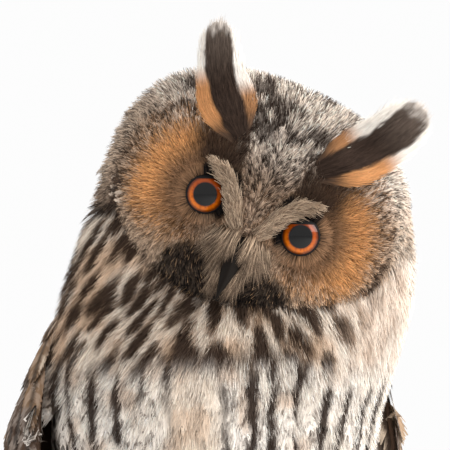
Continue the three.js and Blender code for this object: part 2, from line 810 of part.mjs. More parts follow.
const owl = new THREE.Group();
const headGroup = new THREE.Group();
headGroup.setRotationFromEuler(headPose);
headGroup.position.copy(headPlace);
owl.add(headGroup);

// Adds one named piece to a group, keeping only its largest closed body
function addPiece(name, solid, look, group = owl) {
  const found = largest(solid).getMesh();
  const geometry = new THREE.BufferGeometry();
  geometry.setAttribute("position", new THREE.BufferAttribute(found.vertProperties, 3));
  geometry.setIndex(new THREE.BufferAttribute(found.triVerts, 1));
  geometry.computeVertexNormals();
  const mesh = new THREE.Mesh(geometry, look);
  mesh.name = name;
  group.add(mesh);
}

const SIDES = [["right", -1], ["left", 1]];
const CUT = 0.38;

// Head, in its own frame
const lids = SIDES.map(([, side]) => placedBall(eyeMiddle(side), EYE_RADIUS + GAP + LID_THICKNESS, 2));
const sockets = SIDES.map(([, side]) => placedBall(eyeMiddle(side), EYE_RADIUS + GAP, 2));
const openings = SIDES.map(([, side]) => lidOpening(side));
const faceLocks = SIDES.flatMap(([, side]) => [
  ...browLocks(side),
  ...bristleLocks(side),
  ...ruffLocks(side),
]);
const bodyFromHead = solidOf(bodyGeometry(CUT).applyMatrix4(headMatrix.clone().invert()));
const headWhole = joined([solidOf(headGeometry(0)), joined(faceLocks).subtract(bodyFromHead), ...lids]);
const headPiece = without(headWhole, ...sockets, ...openings, billUpper(CUT), billLower(CUT));
addPiece("head", headPiece, looks.coat, headGroup);
const upper = without(billUpper(0), nostril(1), nostril(-1));
addPiece("bill_upper", upper, looks.horn, headGroup);
addPiece("bill_lower", without(billLower(0), billUpper(CUT)), looks.horn, headGroup);
const headGrown = solidOf(headGeometry(CUT));
SIDES.forEach(([word, side]) => {
  addPiece(`eye_${word}`, placedBall(eyeMiddle(side), EYE_RADIUS, 3), looks.eye, headGroup);
  addPiece(`ear_tuft_${word}`, without(tuft(side), headGrown), looks.tuftDark, headGroup);
});

// Neck and torso, parted below the head
const headCutter = posedHead(CUT);
const bodyWhole = without(solidOf(bodyGeometry(0)), headCutter);
addPiece("neck", without(bodyWhole, neckSlab(-200, GAP / 2)), looks.coat);
addPiece("torso", without(bodyWhole, neckSlab(-GAP / 2, 200)), looks.breast);

// Wings and tail
const bodyCutter = solidOf(bodyGeometry(CUT));
const tailSleeve = tailClearance();
SIDES.forEach(([word, side]) => {
  const wingPiece = without(wingForm(side), bodyCutter, headCutter, tailSleeve, farHalf(side));
  addPiece(`wing_${word}`, wingPiece, looks.flight);
});
addPiece("tail", without(tailForm(), bodyCutter), looks.flight);

// Legs, feet and claws
const perchCutter = perchForm(CUT);
SIDES.forEach(([word, side]) => {
  addPiece(`thigh_${word}`, without(thigh(side, 0), bodyCutter), looks.foot);
  addPiece(`shank_${word}`, without(shank(side, 0), bodyCutter, thigh(side, CUT)), looks.foot);
  const footPiece = without(foot(side), shank(side, CUT), thigh(side, CUT), perchCutter);
  addPiece(`foot_${word}`, footPiece, looks.foot);
  TOES.forEach((each) => {
    const clawPiece = without(claw(side, each), toe(side, each, CUT), perchCutter);
    addPiece(`claw_${word}_${each.name}`, clawPiece, looks.horn);
  });
});

// Perch and stand
addPiece("perch_branch", joined([perchForm(0), twigStub()]), looks.bark);
addPiece("stand_base", baseForm(), looks.wood);
SIDES.forEach(([word, side]) => {
  addPiece(`stand_rod_${word}`, without(rodForm(side), perchCutter), looks.metal);
});

export default owl;
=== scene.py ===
import itertools
import math

import bpy
import numpy as np
from mathutils import Matrix, Vector
from mathutils.bvhtree import BVHTree


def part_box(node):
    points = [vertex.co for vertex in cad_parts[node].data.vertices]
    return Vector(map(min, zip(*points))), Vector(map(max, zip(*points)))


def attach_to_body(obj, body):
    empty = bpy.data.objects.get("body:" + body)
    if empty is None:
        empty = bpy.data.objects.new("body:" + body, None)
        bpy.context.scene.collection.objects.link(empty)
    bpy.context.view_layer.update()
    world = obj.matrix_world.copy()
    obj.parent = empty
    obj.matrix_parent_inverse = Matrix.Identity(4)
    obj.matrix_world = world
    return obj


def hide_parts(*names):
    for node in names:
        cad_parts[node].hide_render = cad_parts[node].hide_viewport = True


MM = 0.001
SIDES = (("right", -1), ("left", 1))
SEED = 11
rng = np.random.default_rng(SEED)

# Pose of the head, as in the solids
HEAD_PIVOT = np.array([-5.4, -20.0, 297.0])
HEAD_ABOVE_PIVOT = 40
HEAD_YAW = -18
HEAD_PITCH = 4
HEAD_ROLL = 24

# Face, in the head's own frame
EYE_X = 20.5
EYE_FORWARD = 25
EYE_RADIUS = 10.5
EYE_DIVERGENCE = 2
IRIS_RADIUS = 7.15
PUPIL_RADIUS = 4.75
DISC_CENTRE = (26, -1)
DISC_SIZE = (27, 33)
BROW_PATH = [(2.5, -10.0), (5.4, -5.2), (8.2, 0.0), (11.6, 6.0), (15.6, 10.2), (20.0, 12.6), (25.0, 13.8)]
BILL_ROOT = np.array([0.0, -31.0, -13.0])
BILL_LENGTH = 33
BILL_DROOP = (10, 104)
BILL_HALF_WIDTH = 5.2
BILL_HALF_HEIGHT = 6.2

# Stand and perch
BASE_RADIUS = 88
BASE_THICKNESS = 14
BASE_BEVEL = 2.5
ROD_RADIUS = 4
ROD_SPREAD = 50
PERCH_RADIUS = 15
PERCH_LENGTH = 176
PERCH_HEIGHT = 128

# Feet; each toe has its name, offset, splay and the angle it reaches round the perch
LEG_X = 20
TOE_RADIUS = 4.6
CLAW_RADIUS = 2.1
TOES = [
    ("front_inner", -5.5, -5, -74),
    ("front_outer", 5.5, 6, -76),
    ("rear_inner", -4.5, -7, 62),
    ("rear_outer", 5.5, 10, 66),
]

# Patch of the baked map that one feather takes, and the most triangles in one piece
PATCH = 0.003
PIECE_TRIANGLES = 185000


def linear(hex_colour):
    """The light that a screen colour stands for."""
    channels = np.array([int(hex_colour[i : i + 2], 16) / 255 for i in (1, 3, 5)])
    return np.where(channels <= 0.04045, channels / 12.92, ((channels + 0.055) / 1.055) ** 2.4)


INK = linear("#120f0e")
DARK = linear("#3d2f27")
STREAK = linear("#33251d")
BROWN = linear("#5f4a3c")
FAWN = linear("#9a7b60")
GREY_BROWN = linear("#83705f")
GREY = linear("#b3a59a")
PALE = linear("#d8ccc0")
WHITE = linear("#f1e9e0")
CREAM = linear("#e4d1ba")
BUFF = linear("#c9a17a")
OLIVE_BROWN = linear("#86654a")
RUFOUS = linear("#cb935e")
ORANGE_BUFF = linear("#cd8a4e")
# The iris at its top, in painted shade of the upper lid, and at its bottom, lit
IRIS_IN_LID_SHADE = linear("#9a3f07")
IRIS_LIT = linear("#d66c0c")
IRIS_FIBRE = linear("#742a05")
IRIS_INNER = linear("#5a2105")
IRIS_OUTER = linear("#3c1504")
PUPIL = linear("#060505")


def smooth(value, low, high):
    """A soft step from 0 at low to 1 at high; low and high are in rising order."""
    t = np.clip((value - low) / (high - low), 0, 1)
    return t * t * (3 - 2 * t)


def mix(first, second, weight):
    """The first colour, turned into the second one by a weight for each place."""
    weight = np.asarray(weight)[..., None]
    return first * (1 - weight) + second * weight


def unit(vectors):
    return vectors / np.maximum(np.linalg.norm(vectors, axis=-1, keepdims=True), 1e-9)


def value_noise(points, cell, seed):
    """Smooth noise from 0 to 1 on a lattice with the given cell size."""
    scaled = points / cell + seed * 7.31
    base = np.floor(scaled).astype(np.int64)
    part = scaled - base
    part = part * part * (3 - 2 * part)
    total = np.zeros(points.shape[:-1])
    for corner in itertools.product((0, 1), repeat=3):
        at = base + np.array(corner)
        mixed = at[..., 0] * 73856093 ^ at[..., 1] * 19349663 ^ at[..., 2] * 83492791 ^ seed * 97531
        mixed = (mixed ^ (mixed >> 13)) * 1274126177
        share = ((mixed >> 8) & 0xFFFF) / 65535
        total += share * np.where(corner, part, 1 - part).prod(-1)
    return total


def profile(*knots):
    """A smooth function through knots, each (place, value)."""
    places, values = np.array(knots, float).T
    slopes = np.empty(len(places))
    slopes[1:-1] = (values[2:] - values[:-2]) / (places[2:] - places[:-2])
    slopes[0] = (values[1] - values[0]) / (places[1] - places[0])
    slopes[-1] = (values[-1] - values[-2]) / (places[-1] - places[-2])

    def at(place):
        place = np.clip(place, places[0], places[-1])
        i = np.clip(np.searchsorted(places, place, "right") - 1, 0, len(places) - 2)
        span = places[i + 1] - places[i]
        t = (place - places[i]) / span
        cubic = (2 * t - 3) * t * t
        return (
            (cubic + 1) * values[i]
            - cubic * values[i + 1]
            + t * (1 - t) * (1 - t) * span * slopes[i]
            - t * t * (1 - t) * span * slopes[i + 1]
        )

    return at


def rotation(degrees, axis):
    return np.array(Matrix.Rotation(math.radians(degrees), 3, axis))


HEAD_TURN = rotation(HEAD_YAW, "Z") @ rotation(HEAD_PITCH, "X") @ rotation(HEAD_ROLL, "Y")
HEAD_PLACE = HEAD_PIVOT + HEAD_TURN @ np.array([0, 0, HEAD_ABOVE_PIVOT])


def from_turn(vectors):
    return vectors @ HEAD_TURN.T


def to_head(points):
    return (points - HEAD_PLACE) @ HEAD_TURN


def from_head(points):
    return points @ HEAD_TURN.T + HEAD_PLACE


# Meshes and materials


def material(name, colour=(0.5, 0.5, 0.5), roughness=0.8, metallic=0.0, specular=0.3, tinted=False):
    """A plain finish; a tinted one takes its colour from the mesh's own tint."""
    made = bpy.data.materials.new(name)
    made.use_nodes = True
    shader = made.node_tree.nodes["Principled BSDF"]
    shader.inputs["Base Color"].default_value = (*colour, 1)
    shader.inputs["Roughness"].default_value = roughness
    shader.inputs["Metallic"].default_value = metallic
    shader.inputs["Specular IOR Level"].default_value = specular
    if tinted:
        tint = made.node_tree.nodes.new("ShaderNodeAttribute")
        tint.attribute_name = "tint"
        made.node_tree.links.new(tint.outputs["Color"], shader.inputs["Base Color"])
    return made


def add_mesh(name, points, faces, look, colours=None, uvs=None):
    """A mesh object from points in millimetres and an array of triangles or quads."""
    corners = faces.shape[1]
    mesh = bpy.data.meshes.new(name)
    mesh.vertices.add(len(points))
    mesh.vertices.foreach_set("co", (points * MM).astype(np.float32).ravel())
    mesh.loops.add(faces.size)
    mesh.loops.foreach_set("vertex_index", faces.astype(np.int32).ravel())
    mesh.polygons.add(len(faces))
    mesh.polygons.foreach_set("loop_start", np.arange(0, faces.size, corners, dtype=np.int32))
    mesh.polygons.foreach_set("use_smooth", np.ones(len(faces), bool))
    mesh.update(calc_edges=True)
    if colours is not None:
        layer = mesh.color_attributes.new("tint", "FLOAT_COLOR", "POINT")
        solid = np.ones((len(points), 4), np.float32)
        solid[:, :3] = np.clip(colours, 0, 1)
        layer.data.foreach_set("color", solid.ravel())
    if uvs is not None:
        layer = mesh.uv_layers.new(name="OFBake")
        layer.uv.foreach_set("vector", uvs[faces.ravel()].astype(np.float32).ravel())
    mesh.materials.append(look)
    made = bpy.data.objects.new(name, mesh)
    bpy.context.scene.collection.objects.link(made)
    return made


def attach(piece, slot, *nodes):
    """Tells what a finished piece rides on and which nodes it takes the place of; slot, what it is made of,
    is not used.
    """
    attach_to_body(piece, "root")
    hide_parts(*nodes)


def grid_faces(rows, columns, closed=True):
    """Quads between neighbouring rings of points."""
    row, column = np.mgrid[0 : rows - 1, 0 : columns if closed else columns - 1]
    here, ahead = row * columns + column, row * columns + (column + 1) % columns
    return np.stack([here, ahead, ahead + columns, here + columns], -1).reshape(-1, 4)


def loft(rings):
    """Points and faces of a closed form through an array of rings (rows, columns, 3)."""
    rows, columns = rings.shape[:2]
    points = np.concatenate([rings.reshape(-1, 3), rings[0].mean(0)[None], rings[-1].mean(0)[None]])
    around = np.arange(columns)
    ahead = (around + 1) % columns
    last_row = (rows - 1) * columns
    first = np.stack([ahead, around, np.full(columns, rows * columns)], -1)
    last = np.stack([last_row + around, last_row + ahead, np.full(columns, rows * columns + 1)], -1)
    triangles = np.concatenate([halved(grid_faces(rows, columns)), first, last])
    return points, outward(points, triangles)


def halved(quads):
    return np.concatenate([quads[:, [0, 1, 2]], quads[:, [0, 2, 3]]])


def outward(points, triangles):
    """The triangles, turned round if they enclose a negative volume."""
    a, b, c = (points[triangles[:, i]] for i in range(3))
    volume = np.einsum("ij,ij->i", a, np.cross(b, c)).sum()
    return triangles if volume > 0 else triangles[:, ::-1]


def tube(path, radii, sides, squash=1.0):
    """Rings of a tube along a path, with a flattened section where squash is under 1."""
    path = np.asarray(path, float)
    ahead = unit(np.gradient(path, axis=0))
    reference = np.where(np.abs(ahead[:, :1]) > 0.8, [[0, 0, 1]], [[1, 0, 0]]).astype(float)
    across = unit(reference - ahead * (reference * ahead).sum(-1, keepdims=True))
    over = np.cross(ahead, across)
    angle = 2 * np.pi * np.arange(sides) / sides
    radii = np.broadcast_to(radii, len(path))[:, None, None]
    return (
        path[:, None]
        + radii * np.cos(angle)[None, :, None] * across[:, None]
        + radii * squash * np.sin(angle)[None, :, None] * over[:, None]
    )


# Skin


FLESH = ["head", "neck", "torso"] + [
    f"{part}_{side}" for part in ("thigh", "shank", "foot") for side in ("right", "left")
]
BODY_AND_WINGS = ["head", "neck", "torso", "wing_right", "wing_left"]
SKIN_VOXEL = 1.7
SMOOTHINGS = 14
LEG_TOP = 175
FOOT_TOP = 158
BODY_COAT = 3.8
HEAD_COAT = 2.0
FACE_COAT = 1.4
LEG_COAT = 1.4
FOOT_COAT = 0.9


def mesh_arrays(mesh):
    """The points, in millimetres, and triangles of a mesh."""
    mesh.calc_loop_triangles()
    places = np.empty(len(mesh.vertices) * 3)
    mesh.vertices.foreach_get("co", places)
    corners = np.empty(len(mesh.loop_triangles) * 3, np.int32)
    mesh.loop_triangles.foreach_get("vertices", corners)
    return places.reshape(-1, 3) / MM, corners.reshape(-1, 3)


def joined_surface(names):
    """One voxel surface round the named nodes."""
    points, faces, count = [], [], 0
    for name in names:
        places, corners = mesh_arrays(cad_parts[name].data)
        points.append(places)
        faces.append(corners + count)
        count += len(places)
    rough = add_mesh("rough", np.concatenate(points), np.concatenate(faces), None)
    remesh = rough.modifiers.new("remesh", "REMESH")
    remesh.mode = "VOXEL"
    remesh.voxel_size = SKIN_VOXEL * MM
    evaluated = rough.evaluated_get(bpy.context.evaluated_depsgraph_get())
    mesh = bpy.data.meshes.new_from_object(evaluated)
    found = mesh_arrays(mesh)
    bpy.data.objects.remove(rough)
    bpy.data.meshes.remove(mesh)
    return found


def vertex_normals(points, triangles):
    a, b, c = (points[triangles[:, i]] for i in range(3))
    face = np.cross(b - a, c - a)
    total = np.zeros_like(points)
    for i in range(3):
        np.add.at(total, triangles[:, i], face)
    return unit(total)


def relax(points, triangles, rounds, weight=0.6):
    """Each point drawn towards the middle of its neighbours, round after round."""
    edges = np.concatenate([triangles[:, [0, 1]], triangles[:, [1, 2]], triangles[:, [2, 0]]])
    edges = np.unique(np.sort(edges, 1), axis=0)
    degree = np.bincount(edges.ravel(), minlength=len(points))[:, None]
    for _ in range(rounds):
        total = np.zeros_like(points)
        np.add.at(total, edges[:, 0], points[edges[:, 1]])
        np.add.at(total, edges[:, 1], points[edges[:, 0]])
        points = points + weight * (total / degree - points)
    return points


# The picture's own right, and the way towards it
ACROSS_FACE = np.array([0.951, -0.309, 0.0])
TOWARDS_FACE = np.array([-0.309, -0.951, 0.0])
# Where the face ends above the breast, by the place across the picture
collar_height = profile(
    (-60, 343), (-50, 340), (-34, 336), (-28, 324), (-18, 311.7), (-8, 303.7), (2, 299.7), (10, 298.5),
    (36, 298.9), (56, 301.7), (68, 309), (73, 318), (82, 330),
)


def front_share(points):
    """1 on the side that the face looks to."""
    return smooth(points @ TOWARDS_FACE, 12, 28)


def head_share(points):
    """1 on the head, falling to 0 on the neck; the breast feathers start along the collar in front."""
    q = to_head(points)
    reach = np.sqrt((q[..., 0] / 64) ** 2 + (q[..., 1] / 50) ** 2 + ((q[..., 2] - 6) / 50) ** 2)
    behind = 1 - smooth(reach, 1.0, 1.14)
    above = smooth(points[..., 2] - collar_height(points @ ACROSS_FACE), -1.5, 1.5)
    return behind + (above - behind) * front_share(points)


def disc_place(q):
    """How far out in its facial disc a place is: 0 at the disc's middle and 1 at its rim."""
    return np.hypot(
        (np.abs(q[..., 0]) - DISC_CENTRE[0]) / DISC_SIZE[0], (q[..., 2] - DISC_CENTRE[1]) / DISC_SIZE[1]
    )


def eye_distance(q):
    """Distance from the nearer eye's middle, seen from in front."""
    return np.hypot(np.abs(q[..., 0]) - EYE_X, q[..., 2])


def facing(q):
    """1 on the front of the head."""
    return smooth(-q[..., 1], 6, 18)


def coat_depth(points):
    """How far the skin lies under the coat's outline."""
    q = to_head(points)
    face = head_share(points) * facing(q) * (1 - smooth(disc_place(q), 0.9, 1.1))
    depth = np.where(points[..., 2] < LEG_TOP, LEG_COAT, BODY_COAT)
    depth = np.where(points[..., 2] < FOOT_TOP, FOOT_COAT, depth)
    depth = depth * (1 - head_share(points)) + HEAD_COAT * head_share(points)
    return depth * (1 - face) + FACE_COAT * face


def around_eyes(points):
    """Skin near each eye drawn in, so that the eyeball and its lids stand clear of it."""
    q = to_head(points)
    for side in (-1, 1):
        middle = np.array([side * EYE_X, -EYE_FORWARD, 0])
        offset = q - middle
        distance = np.linalg.norm(offset, axis=1, keepdims=True)
        out = offset / distance
        inside = smooth(-out[:, 1:2], 0.2, 0.5)
        target = np.minimum(distance, EYE_RADIUS - 1.2)
        near = distance < EYE_RADIUS + 3.5
        q = np.where(near, middle + out * (distance + inside * (target - distance)), q)
    return from_head(q)


class Surface:
    """A triangle mesh that answers for its nearest points and can be scattered over."""

    def __init__(self, points, triangles, uvs):
        self.points = points
        self.triangles = triangles
        self.normals = vertex_normals(points, triangles)
        self.tree = BVHTree.FromPolygons(points.tolist(), triangles.tolist())
        self.uvs = uvs

    def nearest(self, points):
        flat = points.reshape(-1, 3)
        places = np.empty_like(flat)
        index = np.empty(len(flat), np.int64)
        for i, point in enumerate(flat.tolist()):
            place, _, found, _ = self.tree.find_nearest(point)
            places[i] = place
            index[i] = found
        normals = unit(self.normals[self.triangles[index]].mean(1))
        return places.reshape(points.shape), normals.reshape(points.shape), index.reshape(points.shape[:-1])

    def first_hit(self, starts, direction):
        """Where rays from the starts meet the surface, or a far place where they miss it."""
        found = np.full(starts.shape, 1e3)
        for i, start in enumerate(starts.tolist()):
            place = self.tree.ray_cast(start, direction)[0]
            if place is not None:
                found[i] = place
        return found

    def scatter(self, density):
        """Random roots, with density(points) roots to a square millimetre."""
        a, b, c = (self.points[self.triangles[:, i]] for i in range(3))
        area = np.linalg.norm(np.cross(b - a, c - a), axis=1) / 2
        wanted = area * density((a + b + c) / 3)
        counts = np.floor(wanted + rng.random(len(wanted))).astype(int)
        index = np.repeat(np.arange(len(counts)), counts)
        u, v = rng.random((2, len(index), 1))
        flip = u + v > 1
        u, v = np.where(flip, 1 - u, u), np.where(flip, 1 - v, v)
        return a[index] + u * (b[index] - a[index]) + v * (c[index] - a[index])

    def spaced(self, spacing):
        """Roots that keep spacing(points) apart, and none where it is zero."""
        tries = 3.2
        found = self.scatter(lambda p: np.where(spacing(p) > 0, tries / np.maximum(spacing(p), 0.5) ** 2, 0))
        found = found[rng.permutation(len(found))]
        gaps = spacing(found)
        cell = max(gaps.max(), 1.0)
        taken = {}
        kept = []
        for i, (point, gap) in enumerate(zip(found.tolist(), gaps.tolist())):
            if gap <= 0:
                continue
            key = tuple(int(c // cell) for c in point)
            near = (
                other
                for step in itertools.product((-1, 0, 1), repeat=3)
                for other in taken.get((key[0] + step[0], key[1] + step[1], key[2] + step[2]), ())
            )
            if any(math.dist(point, other) < gap for other in near):
                continue
            taken.setdefault(key, []).append(point)
            kept.append(i)
        return found[kept]


def unwrap(points, triangles):
    """A map of the skin's own shape, cut by the way its faces turn, for places on it."""
    made = add_mesh("unwrap", points, triangles, None, uvs=np.zeros((len(points), 2)))
    bpy.context.view_layer.objects.active = made
    made.select_set(True)
    bpy.ops.object.mode_set(mode="EDIT")
    bpy.ops.mesh.select_all(action="SELECT")
    bpy.ops.uv.smart_project(angle_limit=math.radians(66), island_margin=0.004)
    bpy.ops.object.mode_set(mode="OBJECT")
    found = np.empty(len(made.data.loops) * 2, np.float32)
    made.data.uv_layers["OFBake"].uv.foreach_get("vector", found)
    bpy.data.objects.remove(made)
    return found.reshape(-1, 3, 2)


# Lie of the coat


def lie(points):
    """The way the coat runs at each place, before it is laid on the surface."""
    q = to_head(points)
    side = np.where(q[..., 0] < 0, -1.0, 1.0)
    width = np.abs(q[..., 0])
    zero = np.zeros(width.shape)
    round_head = np.arctan2(q[..., 2] + 4, -q[..., 1])
    over = np.stack([0.3 * side, np.sin(round_head), np.cos(round_head)], -1)
    beside = np.stack([zero, zero + 0.8, zero - 0.6], -1)
    head = mix(over, beside, smooth(width, 38, 56))
    radial = unit(np.stack([side * (width - EYE_X), zero, q[..., 2] + 0.001], -1))
    outwards, upwards = (width - DISC_CENTRE[0]) / DISC_SIZE[0], (q[..., 2] - DISC_CENTRE[1]) / DISC_SIZE[1]
    rim = unit(np.stack([side * outwards, zero, upwards], -1))
    radial = mix(radial, rim, smooth(disc_place(q), 0.7, 1.0))
    upper = smooth(q[..., 2], 16, 30) * smooth(disc_place(q), 0.95, 1.05)
    on_disc = facing(q) * (1 - smooth(disc_place(q), 1.2, 1.4)) * (1 - upper) * (1 - forehead_share(q))
    head = unit(mix(unit(head), radial, on_disc)) @ HEAD_TURN.T
    across, z = points @ ACROSS_FACE, points[..., 2]
    spread = np.interp(across, [-60, -40, -15, 10, 30, 52, 74], [-0.45, -0.8, -0.75, -0.2, 0.1, 0.4, 0.1])
    spread = spread * np.interp(z, [225, 262, 300, 340], [0.12, 0.4, 1, 1.1]) * front_share(points)
    backwards = 0.3 * (1 - front_share(points)) * smooth(np.abs(points[..., 0] - 2), 40, 60)
    body = spread[..., None] * ACROSS_FACE + np.stack([zero, backwards, zero - 1], -1)
    return unit(mix(unit(body), head, head_share(points)))


def forehead_share(q):
    """1 between the brows and the tufts, 0 on the discs."""
    edge = np.interp(q[..., 2], [-10, -4, 4, 14, 22, 34], [0, 3, 7.5, 11, 11.5, 16])
    return smooth(edge - np.abs(q[..., 0]), -1.5, 1.5) * smooth(q[..., 2], -9, -5)


def tangent(direction, normals):
    """A direction laid flat on the surface."""
    return unit(direction - normals * (direction * normals).sum(-1, keepdims=True))


def turned(direction, normals, angle):
    """A direction turned about the normals by an angle in radians."""
    angle = angle[..., None]
    return direction * np.cos(angle) + np.cross(normals, direction) * np.sin(angle)


def trace(surface, roots, length, steps, wander, field=lie):
    """Lines over the skin that start at the roots and follow the lie, with the normals under them."""
    points, normals, index = surface.nearest(roots)
    lines, frames = [points], [normals]
    for _ in range(steps):
        direction = turned(tangent(field(points), normals), normals, wander)
        points, normals, _ = surface.nearest(points + direction * (length / steps)[:, None])
        lines.append(points)
        frames.append(normals)
    return np.stack(lines, 1), np.stack(frames, 1), index


def raised(lines, normals, sunk, lift, power=0.8):
    """Lines that start at a depth and rise to a height over the surface."""
    t = np.linspace(0, 1, lines.shape[1]) ** power
    return lines + normals * (sunk[:, None] * (1 - t) + lift[:, None] * t)[..., None]


# Ribbons, strands and plumes


def patches(base, along, across=0.5):
    """Places on the baked map: a small patch for each feather or lock, at its root's place."""
    return base + PATCH * np.stack(np.broadcast_arrays(across, along), -1)


def bowed(start, bend, end, t):
    """Curves from start to end that lean towards bend."""
    return (1 - t) ** 2 * start[:, None] + 2 * t * (1 - t) * bend[:, None] + t**2 * end[:, None]


def finer(path, count):
    """A path with more points; each has a place and, last, a radius."""
    at = np.linspace(0, len(path) - 1, count)
    columns = [np.interp(at, range(len(path)), values) for values in np.array(path, float).T]
    return np.stack(columns[:3], -1), columns[3]


class Coat:
    """Gathers ribbons."""

    def __init__(self, name, look, slot):
        self.name = name
        self.look = look
        self.slot = slot
        self.parts = []

    def add(self, paths, normals, widths, colours, uvs):
        """Ribbons along paths (count, steps, 3) that face the way of the normals."""
        ahead = unit(np.gradient(paths, axis=1))
        across = unit(np.cross(ahead, normals)) * (widths / 2)[..., None]
        points = np.stack([paths - across, paths + across], 2)
        both = np.broadcast_to(colours[:, :, None, :], points.shape)
        uv = np.broadcast_to(uvs[:, :, None, :], (*points.shape[:3], 2))
        self.parts.append((points, both, uv))

    def chunks(self):
        """The ribbons in groups that each fit one piece."""
        pending, size = [], 0
        for part in self.parts:
            steps = part[0].shape[1]
            per_chunk = max(1, PIECE_TRIANGLES // (2 * (steps - 1)))
            for start in range(0, len(part[0]), per_chunk):
                piece = tuple(values[start : start + per_chunk] for values in part)
                triangles = len(piece[0]) * 2 * (steps - 1)
                if size + triangles > PIECE_TRIANGLES and pending:
                    yield pending
                    pending, size = [], 0
                pending.append(piece)
                size += triangles
        yield pending

    def write(self, *nodes):
        chunks = list(self.chunks())
        for number, chunk in enumerate(chunks):
            points, colours, uvs, faces, count = [], [], [], [], 0
            for ribbon, colour, uv in chunk:
                amount, steps = ribbon.shape[:2]
                base = count + 2 * steps * np.arange(amount)[:, None] + 2 * np.arange(steps - 1)[None]
                faces.append(np.stack([base, base + 1, base + 3, base + 2], -1).reshape(-1, 4))
                points.append(ribbon.reshape(-1, 3))
                colours.append(colour.reshape(-1, 3))
                uvs.append(uv.reshape(-1, 2))
                count += ribbon[..., 0].size
            name = f"{self.name}_{number + 1}" if len(chunks) > 1 else self.name
            points, faces, colours, uvs = (np.concatenate(values) for values in (points, faces, colours, uvs))
            attach(add_mesh(name, points, faces, self.look, colours, uvs), self.slot, *nodes)


def strands(coat, surface, roots, colour, *, length, width, lift, wander, steps=3, field=lie, sunk=0.4):
    """Single hair-like barbs over the skin."""
    count = len(roots)
    length = length * rng.uniform(0.75, 1.2, count)
    lines, normals, index = trace(surface, roots, length, steps, rng.normal(0, wander, count), field)
    lines = raised(lines, normals, np.full(count, -sunk), lift * rng.uniform(0.5, 1.3, count), 1.2)
    taper = np.linspace(1, 0.2, steps + 1) ** 0.8
    widths = width * rng.uniform(0.75, 1.25, (count, 1)) * taper
    along = np.broadcast_to(np.linspace(0, 1, steps + 1), widths.shape)
    roll = normals + 0.4 * rng.normal(0, 1, (count, 1, 3))
    colours = colour(np.repeat(roots[:, None], steps + 1, 1), lines, along)
    coat.add(lines, unit(roll), widths, colours, patches(surface.uvs[index].mean(1)[:, None], along))


def ovate(s):
    """Share of a body feather's half width at each share of its length."""
    return np.sqrt(np.clip(1 - ((s - 0.6) / 0.46) ** 2, 0.0, 1)) * smooth(s, -0.1, 0.35)


def strap(s):
    """The same for a flight feather: even, with a rounded end."""
    rounded = np.sqrt(np.clip(1 - (np.clip(s - 0.86, 0, 1) / 0.19) ** 2, 0, 1))
    return rounded * (0.55 + 0.45 * smooth(s, 0, 0.3))


BARB_STEPS = np.array([0, 0.3, 0.62, 1.0])
BARB_STRAY = 0.12


def plumes(
    coat, lines, normals, base_uv, colour, *,
    half_width, barbs, outline, reach=1.5, curl=0.12, fringe=0.1, fill=1.5,
):
    """Feathers: each a fan of barbs that leave a shaft on both sides, laid along its centre line."""
    count, stations = lines.shape[:2]
    length = np.linalg.norm(np.diff(lines, axis=1), axis=-1).sum(1)
    start = np.linspace(0.04, 0.97, barbs)
    run = (half_width / length)[:, None] * reach * (1 - 0.55 * start)
    jitter = rng.normal(0, fringe, (count, 2, barbs))
    end = np.minimum(start + run, 1.05)[:, None] * (1 + 0.25 * jitter)
    s = start[:, None] + (end - np.broadcast_to(start, end.shape))[..., None] * BARB_STEPS
    spread = outline(np.clip(end, 0, 1.05)) * (1 + 0.5 * jitter) * half_width[:, None, None]
    w = spread[..., None] * BARB_STEPS**0.85 * np.array([-1, 1])[:, None, None]
    place = np.clip(s, 0, 1) * (stations - 1)
    low = np.minimum(place.astype(int), stations - 2)
    part = (place - low)[..., None]
    feather = np.arange(count)[:, None, None, None]
    centre = lines[feather, low] * (1 - part) + lines[feather, low + 1] * part
    normal = unit(normals[feather, low] * (1 - part) + normals[feather, low + 1] * part)
    ahead = unit(np.gradient(lines, axis=1))
    forward = unit(ahead[feather, low] * (1 - part) + ahead[feather, low + 1] * part)
    across = unit(np.cross(forward, normal))
    share = w / half_width[:, None, None, None]
    drop = curl * w * share + rng.normal(0, BARB_STRAY, w.shape) * BARB_STEPS
    points = centre + across * w[..., None] - normal * drop[..., None]
    points += forward * ((s - np.clip(s, 0, 1)) * length[:, None, None, None])[..., None]
    thick = fill * 0.93 / barbs * length[:, None, None, None] * rng.uniform(0.8, 1.2, (*w.shape[:3], 1))
    widths = thick * np.array([0.8, 1, 0.8, 0.22])
    colours = colour(points, s, share)
    uvs = patches(base_uv[:, None, None, None], s, 0.5 + 0.5 * share)
    shape = (-1, len(BARB_STEPS))
    coat.add(
        points.reshape(*shape, 3), normal.reshape(*shape, 3), widths.reshape(shape),
        colours.reshape(*shape, 3), uvs.reshape(*shape, 2),
    )


def body_plumes(coat, surface, roots, colour, *, length, half_width, lift, **shape):
    """Contour feathers over the skin, one to a root."""
    count = len(roots)
    length = length * rng.uniform(0.88, 1.15, count)
    lines, normals, index = trace(surface, roots, length, 5, rng.normal(0, 0.12, count))
    lines = raised(lines, normals, np.full(count, -0.8), lift * rng.uniform(0.75, 1.2, count))
    tilt = rng.normal(0, 0.08, (count, 1))
    ahead = unit(np.gradient(lines, axis=1))
    normals = unit(normals + np.cross(ahead, normals) * tilt[..., None])
    base = surface.uvs[index].mean(1)
    tone = rng.uniform(0, 1, (count, 1, 1, 1))
    plumes(
        coat, lines, normals, base, lambda p, s, w: colour(roots[:, None, None, None], p, s, w, tone),
        half_width=half_width * rng.uniform(0.9, 1.12, count), outline=ovate, **shape,
    )


# Markings


def per_tuft(roots, spread):
    """A random lightness for each tuft or hair."""
    return rng.normal(0, spread, roots.shape[:1])[:, None]


def some_tufts(roots, share):
    """True for a random share of the tufts or hairs."""
    return (rng.random(roots.shape[:1]) < share)[:, None]


def speckle(points, cell, seed, low=0.42, high=0.58):
    return smooth(value_noise(points, cell, seed), low, high)


